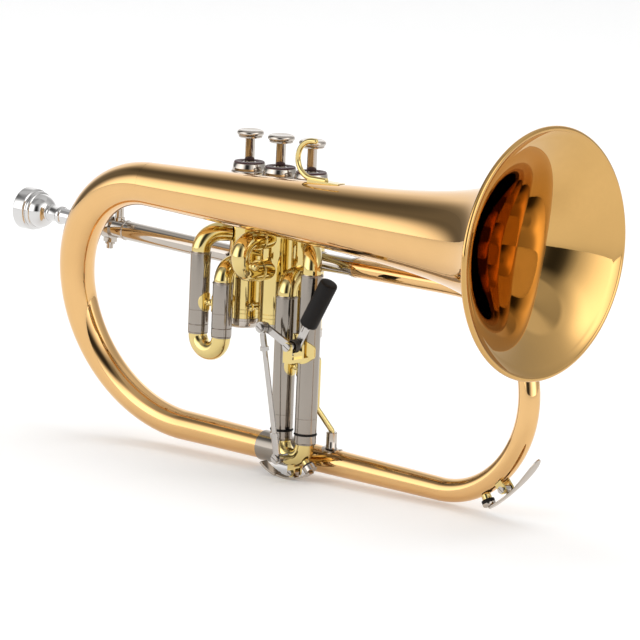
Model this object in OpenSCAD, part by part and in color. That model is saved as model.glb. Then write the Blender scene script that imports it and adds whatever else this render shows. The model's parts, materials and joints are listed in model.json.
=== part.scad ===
// Flugelhorn with three piston valves, vertical slides and a trigger on the third slide.
// Origin: centre of the bell mouth. +X points out of the bell, +Z up along the valves.

/* [Bell and main tube] */
// Radius of the bell at its rim
bell_r = 76.2; // [70:0.1:80]
// Radius that the bell's cone tends to behind the flare
throat_r = 24.1; // [22:0.1:26]
// Length over which the flare closes
flare_len = 65.8; // [50:0.1:80]
// Power of the flare's curve
flare_power = 2.68; // [2:0.01:3.2]
// Loss of radius per millimetre along the bell's stem
stem_taper = 0.0342; // [0.02:0.0001:0.04]
// Length of the bell from its rim to the rear bow
bell_len = 316.6; // [290:0.1:340]
// Sheet thickness of the bell and bows
sheet = 0.8; // [0.6:0.1:1.2]
// Radius of the rolled bead at the bell's rim
bead_r = 1.7; // [1.2:0.1:2.2]
// How far behind the bell stem's end the rear bow reaches
rear_reach = 70.8; // [60:0.1:80]
// Height of the rear bow's upper quarter
rear_up = 72.8; // [65:0.1:80]
// Length of the rear bow's lower quarter
rear_low_len = 85; // [75:0.1:95]
// Height of the rear bow's lower quarter
rear_low = 81.5; // [75:0.1:90]
// How far the bottom tube lies to the left of the bell
bottom_y = 28.5; // [28:0.5:34]
// Drop of the bottom tube per millimetre forwards
bottom_slope = 0.0306; // [0:0.001:0.05]
// Radius of the front bow's bend
front_bend = 62.3; // [55:0.1:66]
// Place of the front bow's bend centre along the bell
front_x = -95.3; // [-110:0.1:-85]

/* [Valves] */
// Place of the first valve along the bell
valve_1_x = -265; // [-275:0.5:-255]
// Distance between valves
valve_gap = 25.5; // [24:0.1:27]
// How far the valves stand to the left of the bell
valve_y = 34; // [32:0.5:38]
// Outer radius of a valve casing
casing_r = 10.3; // [10:0.1:10.8]
// Radius of a casing's bore
casing_bore = 8.6; // [8.2:0.1:9]
// Running clearance of a piston, slide leg or pin
run_gap = 0.05; // [0.02:0.01:0.1]
// How far a valve travels
valve_travel = 13.5; // [12:0.5:15]
// Height of the upper slide ports
port_hi = -26; // [-30:0.5:-24]
// Height of the lower slide ports
port_lo = -45; // [-48:0.5:-43]
// Height of the outlet towards the front bow
outlet_z = -36; // [-38:0.5:-34]

/* [Slides] */
// Distance of the first and third slides to the left of the bell
slide_y = 11.5; // [11:0.5:12]
// Distance between a slide's two legs
leg_gap = 19.4; // [18.5:0.1:20.5]
// Outer radius of the brass slide tubing
tube_r = 5.9; // [5.6:0.1:6.1]
// Wall of the slide tubing
tube_wall = 0.6; // [0.5:0.1:0.8]
// Outer radius of the first slide's sleeves
sleeve_1_r = 6.4; // [6.3:0.1:6.6]
// Outer radius of the third slide's sleeves
sleeve_3_r = 6.8; // [6.7:0.1:7]
// Front leg of the first slide along the bell
slide_1_x = -262.9; // [-264:0.1:-262]
// Rear leg of the third slide along the bell
slide_3_x = -210.2; // [-211:0.1:-209]
// Height of the first slide's lower ferrule ends
slide_1_end = -90; // [-94:0.5:-88]
// Height of the third slide's lower ferrule ends
slide_3_end = -146; // [-148:0.5:-144]

/* [Leadpipe and mouthpiece] */
// Outer radius of the receiver tube
receiver_r = 6; // [5.8:0.1:6.4]
// Height of the receiver's axis at the first valve
lead_z = -42.3; // [-44:0.1:-41]
// Tilt of the receiver, mouthpiece end up
lead_tilt = 1.9; // [0:0.1:3]
// Distance from the first valve to the mouthpiece rim
mouth_reach = 188.5; // [175:0.5:195]
// Outer radius of the mouthpiece rim
mouth_r = 13.7; // [13:0.1:14.2]

/* [Trigger] */
// Pivot of the trigger along the bell
pivot_x = -188.3; // [-189:0.1:-187]
// Height of the trigger's pivot
pivot_z = -82.5; // [-84:0.1:-81]
// Distance from the pivot to the linkage's upper ball
crank_len = 22.8; // [22:0.1:24]
// Angle of the crank above the horizontal
crank_rise = 24; // [20:1:26]
// Radius of the trigger grip
grip_r = 5.7; // [5:0.1:6]
// Length of the trigger grip
grip_len = 34; // [30:0.5:38]

/* [Hidden] */

$fn = 64;
rose = "#c8813a";
yellow = "#d8b24a";
nickel = "#c9c6c0";
silver = "#e2e3e6";
steel = "#b9babd";
black = "#1d1b1a";
maroon = "#5b1c22";

// Main tube
rear_end_x = -bell_len - rear_reach;
rear_low_x = rear_end_x + rear_low_len;
rear_low_z = -rear_up - rear_low;
lean = bottom_y / rear_low_z;
stem_end_r = bell_profile_r(bell_len);
rear_mid_r = 10.9;
rear_low_r = 9.4;
bottom_taper = 0.0102;
front_z = outlet_z - front_bend;
ferrule_x0 = -239;
ferrule_x1 = -206;
bottom_joint_x = -225;
plate_wall = 0.6;
outlet_x0 = -203.7;
outlet_x1 = -174;
bow_in_r = 5.9;
bow_mid_r = 6.5;
sweep_sides = 28;
brace_turn = 52;
receiver_end = 118;
collar_h = 6.8;
clamp_r = 1.5;

// Valves
casing_top = 14;
casing_bottom = -82.6;
neck_r = 9.6;
cap_r = 10.9;
cap_z0 = 11;
cap_z1 = 17.6;
felt_z0 = 17;
felt_z1 = 18.5;
hub_r = 4.9;
stem_r = 2.8;
button_r = 8.4;
button_z0 = felt_z1 + valve_travel + 1.4;
button_h = 4.8;
piston_top = -10;
piston_bottom = -62;
floor_z = -83;
spring_wire = 0.45;
spring_turns = 6;

// Slides
tube_in = tube_r - tube_wall;
elbow_long = 12;
elbow_short = 10;
sleeve_top_1a = -38.3;
sleeve_top_1b = -54.8;
sleeve_top_3c = -55.9;
sleeve_top_3d = -40;
ferrule_h = 5.9;
joint_gap = 0.25;
socket_h = 4;
leg_1_r = tube_r - run_gap;
leg_3_bore = 6.25;
leg_3_r = leg_3_bore - run_gap;
second_x = valve_1_x + valve_gap;
second_bend = (port_hi - port_lo) / 2 + 0.3;
second_z = (port_hi + port_lo) / 2;
second_sleeve_y = 16.6;
second_crook_y = 9.9;
second_sleeve_r = 6.5;
brace_1_z = -69.5;
brace_3_z = -99;

// Trigger and linkage
ear_front_y = -12;
ear_back_y = -1.2;
ear_t = 1.8;
crank_x = pivot_x - crank_len * cos(crank_rise);
crank_z = pivot_z + crank_len * sin(crank_rise);
crank_y = -9.8;
lower_ball_x = -200.5;
lower_ball_z = -154.8;
lower_ball_y = -2.6;
eye_r = 3.6;
eye_bore = 2.6;
ball_r = 1.5;
eye_w = 3.4;
grip_y = -2;
grip_angle = 61;
grip_start = 14;

// Water keys
key_y = slide_y;
crook_3_x = slide_3_x + leg_gap / 2;
third_pivot_x = -198.3;
third_pivot_z = -164.8;
third_arc_r = 33.6;
third_arc_x = -204;
third_arc_z = -136.2;
nipple_r = 2.6;
cork_r = 3.3;
cup_r = 4.1;
front_key_y = 29.95;
front_pivot_a = -47.5;
front_nipple_a = -60.5;
front_pivot_d = 73.2;
front_arc_r = 120;

// ---------- shared shapes ----------

function bell_profile_r(s) =
    throat_r + (bell_r - bead_r - throat_r) * pow(flare_len / (flare_len + s), flare_power)
    - stem_taper * s;

function bottom_z(x) = rear_low_z - bottom_slope * (x - rear_low_x);

function bottom_r(x) = rear_low_r - bottom_taper * (x - rear_low_x);

// One ring of a swept tube, square to the direction t, with n across it
function ring_at(p, t, n, r, sides) =
    let (u = t / norm(t), b = cross(u, n))
    [for (k = [0:sides - 1]) p + r * (cos(360 * k / sides) * n + sin(360 * k / sides) * b)];

function heading(path, i) = path[min(i + 1, len(path) - 1)] - path[max(i - 1, 0)];

// Hollow tube swept along a path that lies in a plane with the normal n
module swept_tube(path, radii, n, wall, sides) {
    last = len(path) - 1;
    outer = [for (i = [0:last]) each ring_at(path[i], heading(path, i), n, radii[i], sides)];
    inner = [for (i = [0:last]) each ring_at(path[i], heading(path, i), n, radii[i] - wall, sides)];
    shift = len(outer);
    faces = concat(
        [for (i = [0:last - 1], k = [0:sides - 1])
            let (a = i * sides + k, b = i * sides + (k + 1) % sides)
            each [[a, b, b + sides], [a, b + sides, a + sides]]],
        [for (i = [0:last - 1], k = [0:sides - 1])
            let (a = shift + i * sides + k, b = shift + i * sides + (k + 1) % sides)
            each [[a, b + sides, b], [a, a + sides, b + sides]]],
        [for (k = [0:sides - 1])
            let (a = k, b = (k + 1) % sides)
            each [[a, a + shift, b + shift], [a, b + shift, b]]],
        [for (k = [0:sides - 1])
            let (a = last * sides + k, b = last * sides + (k + 1) % sides)
            each [[a, b + shift, a + shift], [a, b, b + shift]]]);
    polyhedron(concat(outer, inner), faces, convexity = 8);
}

// Solid wire swept along a coil about Z
module coil(coil_r, wire_r, z0, z1, turns, steps, sides) {
    count = turns * steps;
    rings = [for (i = [0:count])
        let (a = 360 * i / steps, rise = (z1 - z0 - 2 * wire_r) / count)
        each [for (k = [0:sides - 1])
            let (q = 360 * k / sides, r = coil_r + wire_r * cos(q))
            [r * cos(a), r * sin(a), z0 + wire_r + i * rise + wire_r * sin(q)]]];
    sides_list = [for (i = [0:count - 1], k = [0:sides - 1])
        let (a = i * sides + k, b = i * sides + (k + 1) % sides)
        each [[a, b + sides, b], [a, a + sides, b + sides]]];
    start = [[for (k = [0:sides - 1]) k]];
    finish = [[for (k = [sides - 1:-1:0]) count * sides + k]];
    polyhedron(rings, concat(sides_list, start, finish), convexity = 6);
}

module tube(r_out, r_in, h) {
    difference() {
        cylinder(r = r_out, h = h);
        translate([0, 0, -1]) cylinder(r = r_in, h = h + 2);
    }
}

module ring(r_out, r_in) {
    difference() {
        circle(r = r_out);
        circle(r = r_in);
    }
}

// Rod between two points
module rod_between(a, b, r) {
    d = b - a;
    translate(a)
        rotate([0, acos(d[2] / norm(d)), atan2(d[1], d[0])])
            cylinder(r = r, h = norm(d));
}

// Cylinder along Y from y0 to y1, centred on x and z
module along_y(x, z, y0, y1, r) {
    translate([x, y0, z]) rotate([-90, 0, 0]) cylinder(r = r, h = y1 - y0);
}

// Half torus tube that opens upwards, in the XZ plane
module u_bend(bend, r_out, r_in) {
    rotate([90, 0, 0])
        rotate_extrude(angle = 180, start = 180)
            translate([bend, 0]) ring(r_out, r_in);
}

module u_solid(bend, r_out) {
    rotate([90, 0, 0])
        rotate_extrude(angle = 180, start = 180)
            translate([bend, 0]) circle(r = r_out);
}

// Tube that leaves a valve sideways at z_port, through a solder collar, and bends down to z_end
module elbow(reach, z_port, z_end, bend, r_out, r_in) {
    start = casing_r - 4;
    difference() {
        translate([start, 0, z_port])
            rotate([0, 90, 0]) {
                tube(r_out, r_in, reach - bend - start);
                tube(r_out + 0.5, r_in, 5.3);
            }
        cylinder(r = casing_r, h = 200, center = true);
    }
    translate([reach - bend, 0, z_port - bend])
        rotate([90, 0, 0])
            rotate_extrude(angle = 90) translate([bend, 0]) ring(r_out, r_in);
    translate([reach, 0, z_end]) tube(r_out, r_in, z_port - bend - z_end);
}

module knuckle(valve_x, leg_x, z_port, z_end, bend) {
    dx = leg_x - valve_x;
    dy = slide_y - valve_y;
    translate([valve_x, valve_y, 0])
        rotate([0, 0, atan2(dy, dx)])
            elbow(norm([dx, dy]), z_port, z_end, bend, tube_r, tube_in);
}

// Outer slide sleeve with a bead at its top and a socket for the brass tube above it
module sleeve(x, z_top, z_bottom, r_out, bore) {
    translate([x, slide_y, z_bottom])
        difference() {
            union() {
                cylinder(r = r_out, h = z_top - z_bottom);
                translate([0, 0, z_top - z_bottom - 1.4]) cylinder(r = r_out + 0.35, h = 1);
            }
            translate([0, 0, -1]) cylinder(r = bore, h = z_top - z_bottom - socket_h + 1);
            translate([0, 0, -1]) cylinder(r = tube_r, h = z_top - z_bottom + 2);
        }
}

// Inner slide leg with its ferrule at the lower end
module leg(x, z_top, z_end, r_leg, r_ferrule) {
    translate([x, slide_y, z_end])
        difference() {
            union() {
                cylinder(r = r_leg, h = z_top - z_end);
                cylinder(r = r_ferrule, h = ferrule_h);
            }
            translate([0, 0, -1]) cylinder(r = tube_in, h = z_top - z_end + 2);
        }
}

// Solder plate that wraps round an upright tube, its middle facing the angle face
module saddle_plate(x, z, tube_radius, plate_h, plate_angle, face) {
    translate([x, slide_y, z])
        rotate([0, 0, face])
            intersection() {
                rotate([0, 0, -plate_angle / 2])
                    rotate_extrude(angle = plate_angle)
                        translate([tube_radius, -plate_h / 2]) square([plate_wall, plate_h]);
                rotate([0, 90, 0]) cylinder(r = plate_h / 2, h = 2 * tube_radius);
            }
}

module leg_brace(x_left, z, tube_radius) {
    span = leg_gap - 2 * tube_radius;
    saddle_plate(x_left, z, tube_radius, 12, 130, 0);
    saddle_plate(x_left + leg_gap, z, tube_radius, 12, 130, 180);
    translate([x_left + tube_radius + 0.4, slide_y, z])
        rotate([0, 90, 0])
            rotate_extrude()
                polygon(concat(
                    [[0, 0], [1.5, 0], [1.5, span / 2 - 0.4 - 1.75]],
                    [for (a = [-45:15:45])
                        [2.5 * cos(a), span / 2 - 0.4 + 2.5 * sin(a)]],
                    [[1.5, span / 2 - 0.4 + 1.75], [1.5, span - 0.8], [0, span - 0.8]]));
}

// ---------- bell and main tube ----------

module bell_section() {
    stations = concat([for (s = [0:2:40]) s], [for (s = [44:5:119]) s], [for (s = [132:23:316]) s]);
    outer = concat([for (s = stations) [bell_profile_r(s), s]], [[stem_end_r, bell_len]]);
    inner = concat([for (s = stations) [bell_profile_r(s) - sheet, s]],
                   [[stem_end_r - sheet, bell_len]]);
    count = len(outer);
    difference() {
        union() {
            polygon(concat(outer, [for (i = [count - 1:-1:0]) inner[i]]));
            translate([bell_r - bead_r, bead_r]) circle(r = bead_r, $fn = 48);
        }
        translate([bell_r - bead_r, bead_r]) circle(r = bead_r - 0.6, $fn = 48);
    }
}

module bell() {
    color(rose) rotate([0, -90, 0]) rotate_extrude($fn = 128) bell_section();
}

module rim_wire() {
    color(steel)
        rotate([0, -90, 0])
            rotate_extrude($fn = 128)
                translate([bell_r - bead_r, bead_r]) circle(r = bead_r - 0.65, $fn = 32);
}

rear_steps = 12;
rear_upper = [for (i = [0:rear_steps])
    let (a = 90 * i / rear_steps)
    [rear_end_x + rear_reach * (1 - sin(a)), -rear_up * (1 - cos(a))]];
rear_lower = [for (i = [1:rear_steps])
    let (a = 90 * i / rear_steps)
    [rear_end_x + rear_low_len * (1 - cos(a)), -rear_up - rear_low * sin(a)]];
rear_straight = [for (x = [rear_low_x + 26, rear_low_x + 52, bottom_joint_x - 1])
    [x, bottom_z(x)]];
rear_stub = [rear_upper[0], rear_upper[0] - [1.5, 0]];
rear_flat = concat(rear_stub, [for (i = [1:rear_steps]) rear_upper[i]], rear_lower, rear_straight);
rear_path = [for (p = rear_flat) [p[0], lean * p[1], p[1]]];
rear_radii = concat(
    [stem_end_r],
    [for (i = [0:rear_steps]) stem_end_r + (rear_mid_r - stem_end_r) * i / rear_steps],
    [for (i = [1:rear_steps]) rear_mid_r + (rear_low_r - rear_mid_r) * i / rear_steps],
    [for (p = rear_straight) bottom_r(p[0])]);
rear_normal = [0, 1, -lean] / norm([0, 1, -lean]);

module rear_bow() {
    color(rose) swept_tube(rear_path, rear_radii, rear_normal, sheet, sweep_sides);
}

// Nickel sleeve over the joint of the two bottom tubes
module bottom_ferrule() {
    mid = (ferrule_x0 + ferrule_x1) / 2;
    half = (ferrule_x1 - ferrule_x0) / 2;
    skin_r = bottom_r(ferrule_x0) + 0.12;
    color(nickel)
        translate([mid, lean * bottom_z(mid), bottom_z(mid)])
            rotate([0, atan(bottom_slope), 0])
                rotate([0, 90, 0])
                    difference() {
                        translate([0, 0, -half]) cylinder(r = skin_r + 0.7, h = 2 * half);
                        translate([0, 0, -half - 1])
                            cylinder(r1 = skin_r, r2 = bottom_r(ferrule_x1) + 0.12,
                                     h = 2 * half + 2);
                    }
}

front_steps = 28;
front_lean = (lean * bottom_z(front_x) - valve_y) / (bottom_z(front_x) - outlet_z);
front_top = [for (x = [outlet_x1, outlet_x1 + 26, outlet_x1 + 52]) [x, outlet_z]];
front_bend_z = (outlet_z + bottom_z(front_x)) / 2;
front_bend_h = (outlet_z - bottom_z(front_x)) / 2;
front_turn = [for (i = [0:front_steps])
    let (a = 90 - 180 * i / front_steps)
    [front_x + front_bend * cos(a), front_bend_z + front_bend_h * sin(a)]];
front_back = [for (x = [front_x - 40, front_x - 80, bottom_joint_x + 1]) [x, bottom_z(x)]];
front_path = concat(
    [for (p = concat(front_top, front_turn))
        [p[0], valve_y + front_lean * (p[1] - outlet_z), p[1]]],
    [for (p = front_back) [p[0], lean * p[1], p[1]]]);
front_radii = concat(
    [for (p = front_top) bow_in_r],
    [for (i = [0:front_steps])
        bow_in_r + 0.2 + (bottom_r(front_x) - bow_in_r - 0.2) * i / front_steps],
    [for (p = front_back) bottom_r(p[0])]);
front_normal = [0, 1, -front_lean] / norm([0, 1, -front_lean]);

module front_bow() {
    color(rose) swept_tube(front_path, front_radii, front_normal, sheet, sweep_sides);
}

module outlet_ferrule() {
    color(nickel)
        difference() {
            translate([outlet_x0 - 3, valve_y, outlet_z])
                rotate([0, 90, 0])
                    difference() {
                        union() {
                            cylinder(r = 5.6, h = outlet_x1 - outlet_x0 + 3);
                            translate([0, 0, 3.6]) cylinder(r = 6.3, h = 1.6);
                            translate([0, 0, outlet_x1 - outlet_x0 + 1]) cylinder(r = 6.2, h = 2);
                        }
                        translate([0, 0, -1])
                            cylinder(r = 5, h = outlet_x1 - outlet_x0 + 5);
                    }
            translate([valve_1_x + 2 * valve_gap, valve_y, -100])
                cylinder(r = casing_r, h = 120);
        }
}

// ---------- valves ----------

function valve_x(i) = valve_1_x + (i - 1) * valve_gap;

module port_hole(i, x, y, z) {
    translate([valve_x(i), valve_y, z])
        rotate([0, 0, atan2(y - valve_y, x - valve_x(i))])
            rotate([0, 90, 0]) cylinder(r = tube_in - 0.1, h = 30);
}

module valve_casing(i) {
    color(yellow)
        difference() {
            translate([valve_x(i), valve_y, casing_bottom])
                difference() {
                    union() {
                        cylinder(r = neck_r, h = casing_top - casing_bottom);
                        translate([0, 0, 3])
                            cylinder(r = casing_r, h = cap_z0 - casing_bottom - 3);
                    }
                    translate([0, 0, -1])
                        cylinder(r = casing_bore, h = casing_top - casing_bottom + 2);
                }
            if (i == 1) {
                port_hole(1, slide_1_x - leg_gap, slide_y, port_hi);
                port_hole(1, slide_1_x, slide_y, port_lo);
                port_hole(1, valve_x(1) - 20, valve_y, lead_z);
                port_hole(1, valve_x(2), valve_y, port_hi - 8);
            }
            if (i == 2) {
                port_hole(2, second_x, slide_y, port_hi);
                port_hole(2, second_x, slide_y, port_lo);
                port_hole(2, valve_x(1), valve_y, port_hi - 8);
                port_hole(2, valve_x(3), valve_y, port_lo - 6);
            }
            if (i == 3) {
                port_hole(3, slide_3_x + leg_gap, slide_y, port_hi);
                port_hole(3, slide_3_x, slide_y, port_lo);
                port_hole(3, valve_x(2), valve_y, port_lo - 6);
                port_hole(3, valve_x(3) + 20, valve_y, outlet_z);
            }
        }
}

// Turned post along Z, length long, with a ball of radius ball in its middle
module ball_post(length, r, ball) {
    reach = sqrt(ball * ball - r * r);
    edge = asin(reach / ball);
    rotate_extrude()
        polygon(concat(
            [[0, 0], [r, 0], [r, length / 2 - reach]],
            [for (k = [-3:3]) [ball * cos(edge * k / 4), length / 2 + ball * sin(edge * k / 4)]],
            [[r, length / 2 + reach], [r, length], [0, length]]));
}

// Short tubes and ball posts that join neighbouring casings
module intervalve_tubes() {
    heights = [port_hi - 8, port_lo - 6];
    start = casing_r - 3;
    span = valve_gap - 2 * start;
    color(yellow)
        for (i = [1:2])
            translate([valve_x(i), valve_y, 0])
                difference() {
                    union() {
                        translate([start, 0, heights[i - 1]])
                            rotate([0, 90, 0]) tube(tube_r, tube_in, span);
                        for (z = [-71, -2])
                            translate([start, 0, z])
                                rotate([0, 90, 0]) ball_post(span, 1.8, 2.6);
                        translate([valve_gap / 2, 0, -71])
                            rotate([90, 0, 0])
                                rotate_extrude()
                                    polygon([[0, 0], [1.3, 0], [1.3, 6], [2.3, 7], [2.7, 8.2],
                                             [2.3, 9.4], [1.2, 10.2], [0, 10.4]]);
                    }
                    for (x = [0, valve_gap])
                        translate([x, 0, -100]) cylinder(r = casing_r, h = 130);
                }
}

module top_cap_section() {
    polygon([[3.2, casing_top], [neck_r, casing_top], [neck_r, cap_z0], [cap_r - 0.5, cap_z0],
             [cap_r, cap_z0 + 0.5], [cap_r, cap_z0 + 2.6], [cap_r - 0.4, cap_z0 + 3.2],
             [cap_r - 0.4, cap_z0 + 3.8], [9.6, cap_z1], [9.3, cap_z1], [9.3, felt_z0],
             [hub_r, felt_z0], [hub_r, felt_z1 - 0.4], [3.2, felt_z1 - 0.4]]);
}

module top_caps() {
    color(nickel)
        for (i = [1:3])
            translate([valve_x(i), valve_y, 0]) rotate_extrude() top_cap_section();
}

module bottom_cap_section() {
    polygon([[1.5, floor_z], [casing_bore, floor_z], [casing_bore, casing_bottom],
             [neck_r, casing_bottom], [neck_r, casing_bottom + 3], [cap_r, casing_bottom + 3],
             [cap_r, -83.8], [cap_r - 0.5, -84.2], [cap_r - 0.5, -84.7], [9.4, -85.3],
             [6, -85.6], [1.5, -85.6]]);
}

module bottom_caps() {
    color(nickel)
        for (i = [1:3])
            translate([valve_x(i), valve_y, 0]) rotate_extrude() bottom_cap_section();
}

module cap_felts() {
    color(maroon)
        for (i = [1:3])
            translate([valve_x(i), valve_y, felt_z0]) tube(9.2, hub_r + 0.1, felt_z1 - felt_z0);
}

module piston(i) {
    r = casing_bore - run_gap;
    color(nickel)
        translate([valve_x(i), valve_y, 0])
            difference() {
                translate([0, 0, piston_bottom]) cylinder(r = r, h = piston_top - piston_bottom);
                for (z = [port_hi, port_lo])
                    translate([0, 0, z]) rotate([90, 0, 0]) cylinder(r = 4.4, h = 30);
                translate([-30, 0, port_hi - 8]) rotate([0, 90, 0]) cylinder(r = 4.4, h = 60);
                translate([0, 0, piston_bottom - 1]) cylinder(r = 7, h = 6);
                translate([0, 0, piston_top - 6]) cylinder(r = stem_r, h = 10);
            }
}

module button_section() {
    r = button_r;
    z = button_z0;
    h = button_h;
    polygon(concat(
        [[0, piston_top - 6], [stem_r, piston_top - 6], [stem_r, z - 0.6], [stem_r + 0.6, z],
         [r - 1.3, z], [r - 0.9, z + 0.4], [r - 0.9, z + 1]],
        [for (a = [-70:20:90]) [r - 1.9 + 1.9 * cos(a), z + h - 1.9 + 1.9 * sin(a)]],
        [[r - 2.6, z + h - 0.15], [0, z + h - 0.5]]));
}

module finger_button(i) {
    color(nickel) translate([valve_x(i), valve_y, 0]) rotate_extrude() button_section();
}

module valve_spring(i) {
    color(steel)
        translate([valve_x(i), valve_y, 0])
            coil(6.2, spring_wire, floor_z, piston_bottom + 5, spring_turns, 14, 6);
}

// ---------- slides ----------

module first_slide_knuckles() {
    color(yellow) {
        knuckle(valve_x(1), slide_1_x - leg_gap, port_hi, sleeve_top_1a - socket_h, elbow_long);
        knuckle(valve_x(1), slide_1_x, port_lo, sleeve_top_1b - socket_h, elbow_short - 0.5);
    }
}

module first_slide_sleeves() {
    bottom = slide_1_end + ferrule_h + joint_gap;
    color(nickel) {
        sleeve(slide_1_x - leg_gap, sleeve_top_1a, bottom, sleeve_1_r, tube_r);
        sleeve(slide_1_x, sleeve_top_1b, bottom, sleeve_1_r, tube_r);
    }
}

module first_slide_legs() {
    color(nickel) {
        leg(slide_1_x - leg_gap, sleeve_top_1a - 6, slide_1_end, leg_1_r, sleeve_1_r);
        leg(slide_1_x, sleeve_top_1b - 6, slide_1_end, leg_1_r, sleeve_1_r);
    }
}

module first_slide_crook() {
    color(yellow)
        translate([slide_1_x - leg_gap / 2, slide_y, slide_1_end])
            u_bend(leg_gap / 2, tube_r, tube_in);
}

// The second slide points to the right, across the bell
module second_pair(y0, y1, r_out, r_in) {
    for (z = [second_z - second_bend, second_z + second_bend])
        difference() {
            along_y(second_x, z, y0, y1, r_out);
            along_y(second_x, z, y0 - 1, y1 + 1, r_in);
            translate([second_x, valve_y, z - 20]) cylinder(r = casing_r, h = 40);
        }
}

module second_slide_sleeves() {
    color(yellow) {
        second_pair(second_sleeve_y, valve_y - casing_r + 2.5, second_sleeve_r, tube_r);
        second_pair(second_sleeve_y, second_sleeve_y + 1, second_sleeve_r + 0.3, tube_r);
    }
}

module second_slide_legs() {
    color(nickel)
        second_pair(second_sleeve_y - joint_gap, valve_y - casing_r - 0.4, tube_r - run_gap, tube_in);
}

module second_slide_crook() {
    color(yellow) {
        translate([second_x, second_crook_y, second_z])
            rotate([-90, 90, 0]) u_bend(second_bend, tube_r, tube_in);
        for (z = [second_z - second_bend, second_z + second_bend])
            difference() {
                along_y(second_x, z, second_crook_y, second_sleeve_y - joint_gap, tube_r);
                along_y(second_x, z, second_crook_y - 1, second_sleeve_y, tube_in);
            }
        // Pull knob on the side of the bend
        difference() {
            translate([second_x + 3, 2.2, second_z - 4.4])
                rotate([0, 90, 0]) {
                    cylinder(r = 1.4, h = 6);
                    translate([0, 0, 4.4]) sphere(r = 2);
                    translate([0, 0, 7.4]) sphere(r = 2.5);
                }
            translate([second_x, second_crook_y, second_z])
                rotate([-90, 90, 0]) u_solid(second_bend, tube_r);
        }
    }
}

module third_slide_knuckles() {
    color(yellow) {
        knuckle(valve_x(3), slide_3_x, port_lo, sleeve_top_3c - socket_h, elbow_short);
        knuckle(valve_x(3), slide_3_x + leg_gap, port_hi, sleeve_top_3d - socket_h, elbow_long);
    }
}

module third_slide_sleeves() {
    bottom = slide_3_end + ferrule_h + 1.4;
    color(nickel) {
        sleeve(slide_3_x, sleeve_top_3c, bottom, sleeve_3_r, leg_3_bore);
        sleeve(slide_3_x + leg_gap, sleeve_top_3d, bottom, sleeve_3_r, leg_3_bore);
    }
}

module third_slide_legs() {
    color(nickel) {
        leg(slide_3_x, sleeve_top_3c - 6, slide_3_end, leg_3_r, sleeve_3_r);
        leg(slide_3_x + leg_gap, sleeve_top_3d - 6, slide_3_end, leg_3_r, sleeve_3_r);
    }
}

module third_slide_o_rings() {
    color(black)
        for (x = [slide_3_x, slide_3_x + leg_gap])
            translate([x, slide_y, slide_3_end + ferrule_h + 0.55])
                rotate_extrude() translate([leg_3_r + 0.54, 0]) circle(r = 0.54, $fn = 24);
}

module third_slide_crook() {
    color(yellow)
        translate([crook_3_x, slide_y, slide_3_end])
            u_bend(leg_gap / 2, tube_r, tube_in);
}

module slide_braces() {
    color(yellow) {
        leg_brace(slide_1_x - leg_gap, brace_1_z, sleeve_1_r);
        leg_brace(slide_3_x, brace_3_z, sleeve_3_r);
    }
}

// ---------- trigger and linkage ----------

module trigger_bracket() {
    base_z = pivot_z - 8;
    color(yellow)
        difference() {
            union() {
                for (y = [ear_front_y, ear_back_y])
                    translate([pivot_x - 3, y, base_z]) cube([6, ear_t, 8]);
                for (y = [ear_front_y, ear_back_y])
                    along_y(pivot_x, pivot_z, y, y + ear_t, 3);
                translate([pivot_x - 3, ear_front_y, base_z - 2])
                    cube([6, slide_y - sleeve_3_r - ear_front_y, 2.2]);
                translate([pivot_x - 8, 1, base_z - 2]) cube([8, 4.2, 2.2]);
                saddle_plate(slide_3_x + leg_gap, pivot_z - 5, sleeve_3_r, 15, 150, -90);
                translate([pivot_x - 6, 3, pivot_z - 2]) cylinder(r = 2, h = 8);
                translate([pivot_x - 6, 3, base_z]) cylinder(r = 1.2, h = 8);
            }
            along_y(pivot_x, pivot_z, -20, 4, 1.5);
            translate([slide_3_x + leg_gap, slide_y, -110]) cylinder(r = sleeve_3_r, h = 60);
            translate([slide_3_x, slide_y, -110]) cylinder(r = sleeve_3_r + 0.4, h = 60);
        }
}

module slotted_head(r, h) {
    difference() {
        cylinder(r = r, h = h);
        translate([-r, -0.35, h - 0.6]) cube([2 * r, 0.7, 1]);
    }
}

// Screw along Y whose slotted head faces the player's right
module cross_screw(x, z, y_head, y_end, r, head_r) {
    translate([x, y_head, z]) {
        rotate([90, 30, 0]) slotted_head(head_r, 1.4);
        rotate([-90, 0, 0]) cylinder(r = r, h = y_end - y_head);
    }
}

module trigger_pivot_screw() {
    color(steel) cross_screw(pivot_x, pivot_z, ear_front_y, ear_back_y + ear_t, 1.5, 2.6);
}

module trigger_spring() {
    color(black)
        for (i = [0:3])
            translate([pivot_x, crank_y + 2.65 + i * 1.02, pivot_z])
                rotate([90, 0, 0])
                    rotate_extrude() translate([3.7, 0]) circle(r = 0.5, $fn = 20);
}

// Flat bar of width w between two points of the XZ plane
module bar_xz(x0, z0, x1, z1, y0, t, w) {
    run = norm([x1 - x0, z1 - z0]);
    translate([x0, y0, z0])
        rotate([0, -atan2(z1 - z0, x1 - x0), 0])
            translate([0, 0, -w / 2]) cube([run, t, w]);
}

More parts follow.
